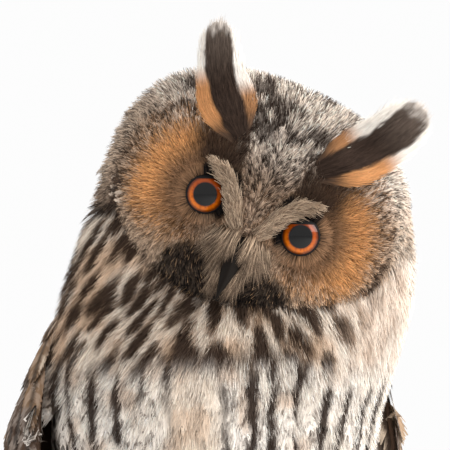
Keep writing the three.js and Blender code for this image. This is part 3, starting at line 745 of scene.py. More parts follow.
def brow_distance(q):
    """Distance from the middle line of the brow, and the share of the way along it."""
    x, z = np.abs(q[..., 0]), q[..., 2]
    best = np.full(x.shape, 1e9)
    share = np.zeros(x.shape)
    for i, ((ax, az), (bx, bz)) in enumerate(zip(BROW_PATH, BROW_PATH[1:])):
        t = np.clip(((x - ax) * (bx - ax) + (z - az) * (bz - az)) / ((bx - ax) ** 2 + (bz - az) ** 2), 0, 1)
        distance = np.hypot(x - ax - t * (bx - ax), z - az - t * (bz - az))
        share = np.where(distance < best, (i + t) / (len(BROW_PATH) - 1), share)
        best = np.minimum(distance, best)
    return best, share


def disc_tint(q):
    """Base colour of the facial disc: rufous beside the eye, grey below, dark above and at the lids."""
    x, z = np.abs(q[..., 0]) - EYE_X, q[..., 2]
    distance = np.hypot(x, z)
    angle = np.degrees(np.arctan2(z, x))
    outer = smooth(x, -9, 2)
    place = disc_place(q)
    tint = mix(FAWN, CREAM, 0.3 * smooth(-z, 4, 14))
    brown = mix(OLIVE_BROWN, RUFOUS, smooth(distance, 11, 20))
    tint = mix(tint, brown, outer * smooth(z, -25, -12) * (1 - 0.75 * smooth(place, 0.66, 0.86)))
    above = smooth(z, 7, 13) * (1 - smooth(x - 0.3 * z, 1, 10)) * smooth(x, -13, -6)
    tint = mix(tint, DARK * 0.7, 0.95 * above)
    inward = np.cos(np.radians(angle - 128))
    dark_reach = 8.0 + 3.8 * smooth(inward, 0.2, 0.95) + 1.2 * smooth(-x, 4, 9)
    tint = mix(tint, INK, 1 - smooth(distance, dark_reach - 0.3, dark_reach + 0.9))
    rim = smooth(place, 0.88, 0.96) * (1 - smooth(place, 1.04, 1.12))
    return mix(tint, DARK * 0.6, rim * (0.5 + 0.45 * smooth(-z, -8, 8)))


def crown_tint(q, streak):
    """Brown on the forehead, grey and black on the crown, darkest in front of each tuft."""
    x, z = np.abs(q[..., 0]), q[..., 2]
    high = smooth(z - 0.4 * q[..., 1], 20, 44)
    low = mix(BROWN, FAWN, 0.5 - 0.45 * smooth(-z, -9, 2))
    tint = mix(low, mix(mix(WHITE, BUFF, 0.35), GREY_BROWN, 0.2), high)
    tint = mix(tint, STREAK * 0.7, (0.3 + 0.67 * high) * smooth(streak, 0.512, 0.562))
    before_tuft = 1 - smooth(np.hypot((x - 19 - 0.35 * (z - 24)) / 6, (z - 25) / 14), 0.6, 1.15)
    return mix(tint, INK, 0.92 * before_tuft * smooth(-q[..., 1], 0, 12))


def side_tint(q):
    """Grey-brown beside the discs, paler on the left side of the head, the side the lamps light: that extra
    paleness is painted light.
    """
    # Painted light: the share of the pale colour rises on the lit left side
    pale = 0.52 + 0.28 * smooth(q[..., 0], 10, 50)
    return mix(mix(GREY_BROWN, BUFF, 0.25), mix(PALE, CREAM, 0.5), pale)


def beside_bill(q):
    """1 on the black patches under the eyes' inner corners, beside the tip of the bill."""
    away = np.hypot((np.abs(q[..., 0]) - 14.5) / 14, (q[..., 2] + 29) / 10)
    return (1 - smooth(away, 0.8, 1.1)) * smooth(-q[..., 1], 6, 14)


def dark_rim_and_shade(q):
    """1 in the dark band beside and below each disc: partly the disc's own dark rim, partly painted shade
    under the disc's edge, strongest on the shaded right side of the head.
    """
    place = disc_place(q)
    band = smooth(place, 0.98, 1.06) * (1 - smooth(place, 1.2, 1.32)) * smooth(-q[..., 2], 2, 14)
    return band * (1 - 0.5 * smooth(q[..., 0], 0, 20))


def hair_colour(roots, points, along):
    """Colour of the hair-fine feathers of the whole head."""
    q, p = to_head(roots), to_head(points)
    place = disc_place(q)
    fine = 0.7 * value_noise(p, 0.75, 3) + 0.3 * value_noise(p, 2.0, 4)
    streak = 0.75 * value_noise(q, 5.5, 5) + 0.25 * value_noise(q, 2.0, 6)
    disc = facing(q) * (1 - smooth(place, 1.04, 1.14)) * (1 - forehead_share(q))
    crown = np.maximum(forehead_share(q), smooth(q[..., 2], 22, 34))
    tint = mix(side_tint(q), crown_tint(q, streak), crown)
    tint = mix(tint, disc_tint(q), disc)
    rough = np.maximum(1 - disc, smooth(place, 0.5, 0.88))
    rough = np.maximum(rough, 0.8 * smooth(-q[..., 2], 7, 15))
    tint = mix(tint, DARK * 0.45, 0.97 * rough * (1 - smooth(fine, 0.41, 0.48)))
    corner = np.maximum(beside_bill(q), beside_bill(p))
    # Painted shade under each disc's edge, together with its dark rim
    tint = mix(tint, DARK * 0.7, 0.9 * dark_rim_and_shade(q))
    tint = mix(tint, INK * 0.5, 0.98 * corner)
    lit = smooth(tint.mean(-1), 0.015, 0.09)
    gilt = some_tufts(roots, 0.06) * corner * smooth(along, 0.4, 0.8)
    tint = mix(tint, BUFF * 0.7, 0.8 * gilt)
    high = smooth(q[..., 2] - 0.4 * q[..., 1], 22, 42)
    grain = mix(mix(PALE, BUFF, 0.6) * 0.8, mix(WHITE, BUFF, 0.3), high)
    tint = mix(tint, grain, (0.12 + 0.75 * lit) * rough * smooth(fine, 0.53, 0.6))
    light = per_tuft(roots, 0.26) + 0.7 * (along - 0.5)
    return mix(tint, DARK, 0.5 * some_tufts(roots, 0.2) * disc) * np.maximum(1 + light, 0.25)[..., None]


def brow_colour(roots, points, along):
    """Pale brows, brown at their roots."""
    light = per_tuft(roots, 0.26) + 0.3 * (along - 0.5)
    tint = mix(FAWN * 0.5, mix(CREAM, BUFF, 0.4) * 0.68, smooth(along, 0.0, 0.6))
    return mix(tint, BROWN, 0.65 * some_tufts(roots, 0.26)) * (1 + light)[..., None]


def bristle_colour(roots, points, along):
    """Pale bristles with brown roots and tips."""
    light = per_tuft(roots, 0.26) + 0.3 * (along - 0.5)
    tint = mix(OLIVE_BROWN * 0.6, mix(CREAM, BUFF, 0.5) * 0.72, smooth(along, 0.05, 0.45))
    tint = mix(tint, BROWN * 0.5, 0.85 * smooth(along, 0.6, 1.0))
    tint = tint * (0.5 + 0.8 * value_noise(to_head(points), 2.6, 15))[..., None]
    return mix(tint, DARK * 0.8, 0.7 * some_tufts(roots, 0.4)) * (1 + light)[..., None]


def nape_colour(points, s, w, tone):
    """Feathers of the nape and back: buff and grey with a dark shaft streak."""
    tint = mix(mix(CREAM, FAWN, 0.25), BUFF, 0.6 * speckle(points, 9, 13, 0.4, 0.65))
    tint = mix(tint, GREY_BROWN, 0.5 * speckle(points, 1.6, 12, 0.45, 0.6))
    half = (0.24 + 0.22 * tone) * (0.6 + 0.8 * value_noise(points, 3, 14))
    streak = (1 - smooth(np.abs(w), half, half + 0.24)) * smooth(s, 0.15, 0.45)
    return mix(tint, STREAK, 0.95 * streak)


def breast_arc(points):
    """How far round the breast a place is, from its middle towards the owl's left."""
    return 62 * np.arctan2(points @ ACROSS_FACE - 1, points @ TOWARDS_FACE + 3.5)


def flat_noise(u, v, seed):
    """Smooth noise on two flat measures."""
    return value_noise(np.stack([u, v, 0 * v], -1), 1.0, seed)


def column_streak(points, gap, half_width, seed):
    """Long dark streaks that run down the breast in wavering, broken columns."""
    arc, z = breast_arc(points), points[..., 2]
    waver = 6 * (flat_noise(arc / 18, z / 26, seed) - 0.5) + 2 * (flat_noise(arc / 5, z / 6, seed + 5) - 0.5)
    place = (arc + waver) / gap
    column = np.floor(place)
    middle = 0.3 + 0.4 * flat_noise(column * 5.3 + 0.5, 0 * z + 0.5, seed + 1)
    off = np.abs(place - column - middle) * gap
    there = flat_noise(column * 3.1, z / 11, seed + 2)
    ragged = half_width * (0.35 + 1.3 * value_noise(points, 2.4, seed + 3))
    ragged = ragged * (0.6 + 0.8 * smooth(there, 0.3, 0.8))
    return (1 - smooth(off, ragged * 0.6, ragged * 1.1)) * smooth(there, 0.32, 0.42)


def blotches(u, v, gap, length, share, seed, stagger=0.5):
    """Dark drop-shaped marks on an uneven staggered grid: 1 at their middles and 0 between them."""
    nearest = np.full(u.shape, 9.0)
    for i, j in itertools.product((-1, 0, 1), repeat=2):
        column = np.floor(u / gap) + i
        shift = stagger * (column % 2)
        row = np.floor(v / length - shift) + j
        across, along, size = (
            np.abs(np.sin(column * 12.99 + row * 78.23 + seed + k) * 4375.8) % 1 for k in range(3)
        )
        off_u = u - (column + 0.5 + 0.5 * (across - 0.5)) * gap
        off_v = v - (row + 0.5 + shift + 0.4 * (along - 0.5)) * length
        half_width = share * gap * (0.7 + 0.6 * size)
        nearest = np.minimum(nearest, np.hypot(off_u / half_width, off_v / (0.5 * length)))
    return 1 - smooth(nearest, 0.5, 1.2)


def feather_edges(arc, z, ragged):
    """Thin broken lines along the round ends of overlapping feathers."""
    wide, high = 7, 8.5
    column = np.floor(arc / wide)
    bow = 4 * (arc / wide - column - 0.5) ** 2
    row = (z - 3.2 * bow + 4 * (column % 2) + 2.5 * ragged) / high
    off = np.abs(row - np.floor(row) - 0.5) * high
    return (1 - smooth(off, 0.4, 1.0)) * smooth(ragged, -0.14, 0.02)


def bright_patch(points):
    """A creamier patch with few streaks in the middle of the breast."""
    across, z = points @ ACROSS_FACE, points[..., 2]
    return 1 - smooth(np.hypot((across + 6) / 15, (z - 250) / 27), 0.55, 1.05)


def front_tint(points):
    """Neck and upper breast with broad soft blotches, the breast below pale with long narrow streaks."""
    arc, z = breast_arc(points), points[..., 2]
    ragged = 0.6 * value_noise(points, 1.2, 28) + 0.4 * value_noise(points, 2.6, 29) - 0.5
    # Painted light: towards the owl's left, the side the lamps light, the breast is whiter and less buff,
    # with fainter marks and dashes
    left = smooth(arc, 36, 62)
    fan = np.interp(arc, [-70, -30, -8, 6, 26, 60], [0.65, 0.6, 0.2, 0, -0.45, -0.25])
    run = arc - fan * (z - 280) + 4 * (value_noise(points, 7, 66) - 0.5)
    high = z + 9 * (value_noise(points, 8, 67) - 0.5)
    wide = np.exp(-(((arc - 3) / 24) ** 2))
    mark = blotches(run, high, 8, 17, 0.46, 61) * (1 - wide)
    mark = mark + blotches(run + 19, high + 15, 14, 23, 0.4, 64, 0.1) * wide
    mark = (mark + 0.8 * ragged) * (1 - 0.75 * left)
    tint = mix(CREAM, WHITE, 0.45 + 0.35 * left)
    tint = mix(tint, BUFF, 0.6 * speckle(points, 12, 22, 0.48, 0.72) * (1 - 0.6 * left))
    tint = mix(tint, FAWN, 0.8 * smooth(mark, 0.08, 0.4))
    tint = mix(tint, STREAK, 0.94 * smooth(mark, 0.3, 0.66))
    hem = np.exp(-(((z - 274 + 8 * ragged) / 4) ** 2)) * (1 - smooth(np.abs(arc - 2), 24, 40))
    upper_breast = mix(tint, DARK * 1.2, 0.85 * hem * smooth(ragged, -0.25, 0.1))
    patch = bright_patch(points)
    low = mix(WHITE * 1.12, GREY, 0.02 + 0.16 * value_noise(points, 5, 23) * (1 - left))
    low = mix(low, CREAM, 0.3 * value_noise(points, 15, 21) + 0.4 * patch)
    low = mix(low, BUFF, 0.35 * speckle(points, 9, 24, 0.6, 0.75) * (1 - left))
    low = mix(low, BUFF, 0.8 * smooth(-z + 8 * ragged, -212, -190))
    flecks = smooth(flat_noise(arc / 1.5, z / 0.9, 63), 0.62, 0.7)
    dashes = np.maximum(flecks, feather_edges(arc, z, ragged))
    low = mix(low, BROWN * 0.7, 0.85 * dashes * (1 - 0.8 * patch) * (1 - 0.4 * left))
    streaks = column_streak(points, 10.5, 1.65, 26) * (1 - 0.85 * patch) * smooth(z, 192, 210)
    low = mix(low, STREAK, 0.96 * streaks)
    return mix(low, upper_breast, smooth(z + 6 * (value_noise(points, 9, 20) - 0.5), 265, 274))


def under_face(points):
    """Shade and dark feathers just below the face."""
    across = points @ ACROSS_FACE
    below = collar_height(across) - points[..., 2] - 5 * smooth(-across, 8, 26) * smooth(across, -54, -44)
    return (1 - smooth(below, 1, 4.5)) * front_share(points)


def body_colour(roots, points, s, w, tone):
    """Contour feathers: the front's markings in front, the nape's behind."""
    front = smooth(roots @ TOWARDS_FACE, -14, 8)
    tint = mix(nape_colour(points, s, w, tone), front_tint(points), front)
    # Painted shade just below the face, with dark feathers there
    tint = mix(tint, DARK * 0.7, 0.85 * under_face(points))
    light = rng.normal(0, 0.11, (*points.shape[:-2], 1))
    return tint * (0.9 + light)[..., None]


def silk_colour(roots, points, along):
    """The same markings, a little blurred, on the loose barbs in front."""
    shifted = points + rng.normal(0, 0.45, (*roots.shape[:1], 1, 3))
    # Painted shade just below the face, with dark feathers there
    tint = mix(front_tint(shifted), DARK * 0.8, 0.9 * under_face(shifted))
    light = per_tuft(roots, 0.13) + 0.2 * (along - 0.5)
    return tint * (1 + light)[..., None]


def down_colour(roots, points, along):
    """Buff and cream down."""
    light = per_tuft(roots, 0.1) + 0.1 * (along - 0.5)
    return mix(BUFF, CREAM, 0.35 + 0.4 * value_noise(points, 12, 31)) * (1 + light)[..., None]


def covert_colour(points, s, w, tone):
    """Mottled coverts with a black shaft streak, and a pale spot on most outer webs."""
    flecks = speckle(points, 1.8, 41, 0.42, 0.6)
    tint = mix(BROWN * 0.7, GREY, 0.5 * flecks)
    tint = mix(tint, BUFF, 0.3 * speckle(points, 10, 42, 0.5, 0.7))
    streak = (1 - smooth(np.abs(w), 0.1, 0.4)) * smooth(s, 0.1, 0.4)
    tint = mix(tint, INK, 0.75 * streak)
    spot = (1 - smooth(np.hypot((s - 0.78) / 0.16, (w + 0.62) / 0.34), 0.6, 1.0)) * (tone > 0.35)
    return mix(tint, CREAM, 0.7 * spot)


def barred_colour(points, s, w, tone, bars, pale, dark):
    """Flight and tail feathers with a number of dark bars and a black shaft."""
    wave = 0.5 + 0.5 * np.sin(2 * np.pi * (s * bars + 0.12 * np.abs(w) + 0.15 * tone))
    bar = smooth(wave + 0.25 * (value_noise(points, 1.8, 51) - 0.5), 0.5, 0.72)
    tint = mix(mix(pale, GREY, smooth(s, 0.3, 0.8)), dark, bar * 0.9)
    tint = mix(tint, dark, 0.3 * speckle(points, 1.4, 52))
    return mix(tint, INK, 0.8 * (1 - smooth(np.abs(w), 0.02, 0.07)))


def tuft_colour(place, along, ragged, fine):
    """Dark middle and orange-buff to white edges, from a tuft's inner edge at -1 to its outer one at 1."""
    stations = [-0.15, 0.1, 0.4, 0.7, 1.0]
    outer = np.interp(along, stations, [0.7, 0.44, 0.56, 0.76, 0.76])
    inner = np.interp(along, stations, [0.8, 0.6, 0.5, 0.62, 0.68])
    edge = np.where(place > 0, outer, inner) + 0.2 * (ragged - 0.5)
    tint = mix(DARK * 0.6, DARK * 1.05, smooth(fine, 0.3, 0.7))
    tint = mix(tint, mix(GREY_BROWN, GREY, 0.5), 0.36 * smooth(along, 0.3, 1.0) * (0.5 + 0.5 * fine))
    warm = smooth(along + 0.1 * (fine - 0.5), -0.05, 0.14) * np.where(place > 0, 1, 0.6)
    orange = mix(BROWN * 0.8, mix(ORANGE_BUFF, BUFF, 0.35), warm)
    pale = smooth(along + 0.18 * (place < 0), 0.4, 0.6)
    tint = mix(tint, mix(orange, WHITE, pale), smooth(np.abs(place), edge, edge + 0.16))
    return mix(tint, mix(GREY, WHITE, 0.6), 0.85 * smooth(along + 0.16 * (ragged - 0.5), 0.84, 0.97))


# Build


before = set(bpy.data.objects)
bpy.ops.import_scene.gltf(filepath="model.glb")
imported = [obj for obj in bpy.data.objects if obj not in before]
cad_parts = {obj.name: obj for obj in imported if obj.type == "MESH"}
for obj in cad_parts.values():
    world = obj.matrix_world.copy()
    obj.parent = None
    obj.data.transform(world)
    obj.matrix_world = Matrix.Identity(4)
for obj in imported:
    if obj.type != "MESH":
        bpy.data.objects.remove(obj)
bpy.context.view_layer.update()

feather_look = material("feather", roughness=0.85, specular=0.12, tinted=True)
skin_look = material("skin", roughness=0.9, specular=0.1, tinted=True)
horn_look = material("dark_horn", tuple(linear("#16110d")), roughness=0.55, specular=0.08)
lid_look = material("lid", tuple(linear("#0d0b0b")), roughness=0.6, specular=0.2)
eye_look = material("eye", roughness=0.12, specular=0.3, tinted=True)


def inset_surface(names, rounds):
    """A relaxed surface round the named nodes, drawn in by the coat's depth."""
    points, triangles = joined_surface(names)
    points = relax(points, triangles, rounds)
    return points - vertex_normals(points, triangles) * coat_depth(points)[:, None], triangles


points, triangles = inset_surface(FLESH, SMOOTHINGS)
points = relax(around_eyes(relax(points, triangles, 2)), triangles, 1)
skin = Surface(points, triangles, unwrap(points, triangles))
points, triangles = inset_surface(BODY_AND_WINGS, SMOOTHINGS + 8)
cover = Surface(points, triangles, skin.uvs[skin.nearest(points[triangles].mean(1))[2]])


def skin_tint(points):
    """The markings of the coat, darker, on the skin under it."""
    shape = points[:, None, None]
    plain = np.full(shape.shape[:-1], 0.5)
    body = body_colour(shape, shape, plain, plain + 0.1, plain)[:, 0, 0] * 0.7
    head = hair_colour(points[:, None], points[:, None], plain[:, 0])[:, 0] * 0.7
    tint = mix(body, head, head_share(points))
    return mix(tint, BUFF * 0.7, 1 - smooth(points[..., 2], 172, 182))


def write_skin():
    corners = skin.uvs.reshape(-1, 2)
    made = add_mesh("skin", skin.points, skin.triangles, skin_look, skin_tint(skin.points))
    layer = made.data.uv_layers.new(name="OFBake")
    layer.uv.foreach_set("vector", corners.astype(np.float32).ravel())
    attach(made, "coat_body", *FLESH)


write_skin()


# Wings: the same sheet as the solids' wings


WING_TOP = 306
WING_TIP = 27
wing_width = profile(
    (27, 23), (60, 29), (110, 39), (150, 50), (180, 60), (205, 69), (225, 74), (240, 75), (262, 71),
    (285, 68), (310, 66),
)
wing_middle = profile((27, 40), (60, 36), (110, 27), (150, 18), (192, 9), (240, 3), (282, -4), (310, -11))
wing_back = profile((27, 19), (60, 24), (110, 35), (150, 42), (192, 49), (240, 54), (262, 54), (310, 48))
wing_front_edge = profile(
    (0, 26), (0.07, 12), (0.15, -4), (0.24, -16), (0.38, -14), (0.5, 2), (0.62, 20), (0.8, 38), (1, 50)
)
wing_back_edge = profile((0, 48), (0.06, 70), (0.18, 82), (0.3, 87), (0.6, 88), (1, 86))
wing_depth = profile((0, 2), (0.08, 7), (0.25, 8), (0.5, 6), (0.7, 4), (1, 3.5))
body_shift = profile((166, 0), (250, 0), (282, 4), (300, 7), (316, 9), (332, 10), (358, 10))
body_front = profile(
    (166, 14), (170, 27), (180, 38), (196, 49), (215, 57), (240, 61), (262, 62), (282, 57), (300, 47),
    (316, 43), (332, 36),
)


def wing_point(side, u, v, height):
    """A place on a wing: u down it, v from its front edge at -1 to its back one at 1."""
    z = WING_TOP + (WING_TIP - WING_TOP) * u
    angle = np.radians(wing_front_edge(u) + (wing_back_edge(u) - wing_front_edge(u)) * (v + 1) / 2)
    out = height + wing_depth(u) * (1 - 0.45 * v * v)
    depth = np.where(angle < 0, np.minimum(body_front(z), wing_back(z) + 6), wing_back(z))
    return np.stack(
        [
            body_shift(z) + side * (wing_width(z) + out) * np.cos(angle),
            wing_middle(z) + (depth + out) * np.sin(angle),
            z + np.zeros_like(angle),
        ],
        -1,
    )


def wing_out(side, u, v):
    """The way out of a wing's sheet."""
    step = 0.01
    along = wing_point(side, u + step, v, 0) - wing_point(side, u - step, v, 0)
    across = wing_point(side, u, v + step, 0) - wing_point(side, u, v - step, 0)
    return unit(np.cross(across, along)) * -side


# Rows of feathers from the wing tip up. Of each pair, the first is the row's front feather and the second
# its back one: where their roots and tips lie down the wing, then how far back their roots and their tips
# lie. Then how much the row's middle hangs down, and the feathers' half width and lift.
WING_ROWS = [
    ("primary", 10, (0.47, 0.42), (0.93, 0.86), (-0.8, 0.3), (-0.7, 0.7), 0.09, 5.6, 0.4),
    ("secondary", 11, (0.34, 0.27), (0.56, 0.66), (-0.76, 0.94), (-0.76, 0.86), 0, 7.2, 1.1),
    ("covert", 13, (0.24, 0.2), (0.41, 0.46), (-0.88, 0.94), (-0.86, 0.9), 0, 6.4, 1.2),
    ("covert", 13, (0.16, 0.14), (0.31, 0.34), (-0.9, 0.9), (-0.88, 0.9), 0, 6.2, 1.3),
    ("covert", 13, (0.1, 0.09), (0.22, 0.25), (-0.92, 0.88), (-0.9, 0.9), 0, 6.0, 1.2),
    ("covert", 12, (0.05, 0.04), (0.14, 0.17), (-0.94, 0.86), (-0.92, 0.9), 0, 5.8, 1.2),
    ("covert", 11, (0.01, 0.0), (0.08, 0.1), (-0.92, 0.84), (-0.9, 0.88), 0, 5.6, 1.2),
]
BARS = {"primary": 6, "secondary": 5}


def wing_row(coat, side, kind, count, roots, tips, root_backs, tip_backs, bow, half_width, lift):
    share = np.linspace(0, 1, count)
    root, tip, v_root, v_tip = (
        front + (back - front) * share for front, back in (roots, tips, root_backs, tip_backs)
    )
    tip = tip + bow * np.sin(np.pi * share)
    t = np.linspace(0, 1, 9)
    u = root[:, None] + (tip - root)[:, None] * t
    v = v_root[:, None] + (v_tip - v_root)[:, None] * t
    height = -2.4 + (lift + 2.4) * t**0.4 + rng.normal(0, 0.12, (count, 1))
    lines = wing_point(side, u, v, height)
    normals = wing_out(side, u, v)
    ahead = unit(np.gradient(lines, axis=1))
    normals = unit(normals + np.cross(ahead, normals) * (0.16 * side))
    tone = rng.uniform(0, 1, (count, 1, 1, 1))
    base = 0.02 + 0.9 * np.stack([0.5 + side * (0.02 + 0.2 * (v_root + 1)), root], -1)
    half_widths = np.full(count, half_width)
    if kind == "covert":
        plumes(
            coat, lines, normals, base, lambda p, s, w: covert_colour(p, s, w, tone),
            half_width=half_widths, barbs=30, outline=ovate, curl=0.05, fringe=0.08,
        )
    else:
        pale, dark = mix(BUFF, GREY, 0.35), BROWN * 0.7
        plumes(
            coat, lines, normals, base, lambda p, s, w: barred_colour(p, s, w, tone, BARS[kind], pale, dark),
            half_width=half_widths, barbs=90, outline=strap, curl=0.05, fringe=0.03,
        )


def wing_underlay(side):
    """A thin brown sheet under a wing's feathers, closed round its edge."""
    u = 0.01 + 0.92 * np.linspace(0, 1, 40)[:, None]
    v = np.concatenate([np.linspace(-0.94, 0.94, 14), np.linspace(0.94, -0.94, 8)])[None]
    depth = np.concatenate([np.full(14, -1.6), np.full(8, -3.4)])[None]
    return loft(wing_point(side, u, v, depth))


for word, side in SIDES:
    points, faces = wing_underlay(side)
    under = add_mesh(f"wing_under_{word}", points, faces, skin_look, np.tile(BROWN * 0.6, (len(points), 1)))
    attach(under, "flight_feather", f"wing_{word}")
    coat = Coat(f"wing_feathers_{word}", feather_look, "flight_feather")
    for row in WING_ROWS:
        wing_row(coat, side, *row)
    coat.write(f"wing_{word}")


# Tail


RECTRIX_PAIRS = 6
TAIL_ROOT = np.array([0, 36, 188])
TAIL_TIP = np.array([0, 51, 27])
TAIL_BARS = 8
TAIL_COVERTS = [
    (26, 190, 25, 0.7), (30, 168, 22, 0.6), (34, 142, 17, 0.42), (37.5, 112, 13, 0.27), (40, 88, 6, 0.18)
]


def tail_feathers():
    """Two fans of six, closed over one another, the middle pair on top."""
    t = np.linspace(0, 1, 9)
    number = np.arange(2 * RECTRIX_PAIRS)
    side = np.where(number % 2, 1, -1)
    share = (number // 2 + 0.4) / RECTRIX_PAIRS
    lines = TAIL_ROOT + (TAIL_TIP - TAIL_ROOT) * t[None, :, None] + np.zeros((len(number), 1, 1))
    lines[..., 0] = (side * share)[:, None] * (9 + 9 * t)
    under = -0.85 * (number // 2) - np.where(side > 0, 0.4, 0)
    lines[..., 1] += under[:, None] * (1 + 0.25 * t) - 3 * np.sin(np.pi * t) - 4 * (share**2)[:, None]
    lines[..., 2] += 9 * t * (share**3)[:, None]
    normals = unit(np.stack([0.12 * side * share, np.ones(len(number)), np.full(len(number), 0.1)], -1))
    normals = np.repeat(normals[:, None], len(t), 1)
    tone = rng.uniform(0, 1, (len(number), 1, 1, 1))
    base = np.stack([0.4 + 0.2 * share * side, 0.9 + 0 * share], -1)
    coat = Coat("tail_feathers", feather_look, "flight_feather")
    pale, dark = mix(BUFF, GREY, 0.4), BROWN * 0.8
    plumes(
        coat, lines, normals, base, lambda p, s, w: barred_colour(p, s, w, tone, TAIL_BARS, pale, dark),
        half_width=np.full(len(number), 7.0), barbs=110, outline=strap, curl=0.05, fringe=0.03,
    )
    coat.write("tail")


def tail_coverts():
    """The soft wedge under the tail's root."""
    y, z, radius, flat = np.array(TAIL_COVERTS, float).T
    rings = tube(np.stack([0 * y, y, z], -1), radius, 24)
    rings[..., 1] = y[:, None] + (rings[..., 1] - y[:, None]) * flat[:, None]
    points, faces = loft(rings)
    under = add_mesh("tail_coverts", points, faces, skin_look, np.tile(CREAM * 0.7, (len(points), 1)))
    attach(under, "flight_feather", "tail")


tail_feathers()
tail_coverts()


# Ear tufts


TUFT_LENGTHS = {-1: 43.5, 1: 45.5}
TUFT_LEAN = 46
TUFT_BEND = 14
TUFT_SPAN = np.linspace(-0.22, 1.06, 27)
TUFT_ACROSS = np.linspace(-1.3, 1.3, 17)
TUFT_FOOT = [(-0.22, 2.5), (-0.08, 5)]
TUFT_HALF_WIDTHS = {
    -1: profile(*TUFT_FOOT, (0.08, 8.6), (0.25, 10.4), (0.45, 8.8), (0.7, 7.4), (0.9, 6.2), (1.06, 4.6)),
    1: profile(*TUFT_FOOT, (0.08, 8.2), (0.25, 10), (0.45, 9.8), (0.7, 9.2), (0.9, 8), (1.06, 6.4)),
}
TUFT_BARBS = 8500
TUFT_STEPS = 5
tuft_depth = profile((-0.22, 1), (0, 2), (0.3, 3.2), (0.6, 3.8), (0.85, 3), (1.06, 0.8))


def tuft_plane(side, a, t):
    """Sideways and upward places of a share a across a tuft (1 at its outer edge) and t along it."""
    lean = np.radians(TUFT_LEAN - TUFT_BEND * t)
    turned_lean = np.radians(TUFT_LEAN - 2 * TUFT_BEND * t)
    wide = a * TUFT_HALF_WIDTHS[side](t)
    x = 21 + TUFT_LENGTHS[side] * t * np.sin(lean) + wide * np.cos(turned_lean)
    z = 30 + TUFT_LENGTHS[side] * t * np.cos(lean) - wide * np.sin(turned_lean)
    return side * x, z


def tuft_front(side):
    """How far forward a tuft's front lies, on a grid over the tuft; it drapes over the skin at its foot."""
    t, a = np.meshgrid(TUFT_SPAN, TUFT_ACROSS, indexing="ij")
    x, z = tuft_plane(side, a, t)
    starts = from_head(np.stack([x, 0 * x - 90, z], -1)).reshape(-1, 3)
    hits = to_head(skin.first_hit(starts, from_turn(np.array([0.0, 1.0, 0.0])).tolist())).reshape(*x.shape, 3)
    own = -19 + 4 * t - 3 * np.sin(np.pi * np.clip(t, 0, 1))
    own = own - tuft_depth(t) * np.sqrt(np.clip(1 - (a / 1.3) ** 2, 0, 1))
    lift = 3.2 * smooth(t, -0.22, 0.05)
    y = np.minimum(own, np.where(hits[..., 1] > 200, 200, hits[..., 1] - lift))
    for _ in range(3):
        y[1:-1] = (y[:-2] + 2 * y[1:-1] + y[2:]) / 4
        y[:, 1:-1] = (y[:, :-2] + 2 * y[:, 1:-1] + y[:, 2:]) / 4
    return y


def tuft_places(side, front, a, t, out, behind):
    """Places out from a tuft's front, or from its back where behind is 1."""
    x, z = tuft_plane(side, a, t)
    row = np.clip((t - TUFT_SPAN[0]) / (TUFT_SPAN[1] - TUFT_SPAN[0]), 0, len(TUFT_SPAN) - 1.001)
    column = np.clip((a - TUFT_ACROSS[0]) / (TUFT_ACROSS[1] - TUFT_ACROSS[0]), 0, len(TUFT_ACROSS) - 1.001)
    i, j = row.astype(int), column.astype(int)
    u, v = row - i, column - j
    y = (front[i, j] * (1 - u) + front[i + 1, j] * u) * (1 - v)
    y = y + (front[i, j + 1] * (1 - u) + front[i + 1, j + 1] * u) * v
    thick = 2 * tuft_depth(t) * np.sqrt(np.clip(1 - a**2, 0, 1))
    return np.stack([x, y - out + behind * (thick + 2 * out), z], -1)


def tuft_feathers(word, side, front):
    """Fine barbs that run up a tuft and fray at its rounded end."""
    one_each = (TUFT_BARBS, 1)
    step = np.linspace(0, 1, TUFT_STEPS)
    place = rng.uniform(-1, 1, one_each)
    reach = rng.uniform(0.15, 0.27, one_each)
    end = 1.0 - 0.14 * np.abs(place) ** 2.2 + rng.normal(0, 0.02, one_each)
    root = -0.2 + (end + 0.2 - reach) * rng.random(one_each)
    t = root + reach * step
    a = place * (1 + rng.uniform(0, 0.26, one_each) * step) + rng.normal(0, 0.06, one_each) * step
    behind = (rng.random(one_each) < 0.35) * np.ones(TUFT_STEPS)
    out = -0.4 + rng.uniform(0.3, 1.5, one_each) * step
    places = tuft_places(side, front, a, t, out, behind)
    colours = tuft_colour(a, t, value_noise(places, 1.6, 57), value_noise(places, 0.8, 58))
    light = rng.normal(0, 0.15, one_each) + 0.25 * (step - 0.5)
    widths = rng.uniform(0.26, 0.42, one_each) * np.linspace(1, 0.2, TUFT_STEPS)
    towards = np.stack([0.7 * side * a, 2 * behind - 1, 0.1 + 0 * a], -1)
    roll = from_turn(towards) + 0.3 * rng.normal(0, 1, (TUFT_BARBS, 1, 3))
    base = skin.uvs[skin.nearest(from_head(places[:, 0]))[2]].mean(1)
    coat = Coat(f"ear_tuft_feathers_{word}", feather_look, "ear_tuft")
    colours = colours * (1 + light)[..., None]
    coat.add(from_head(places), unit(roll), widths, colours, patches(base[:, None], step))
    coat.write(f"ear_tuft_{word}")


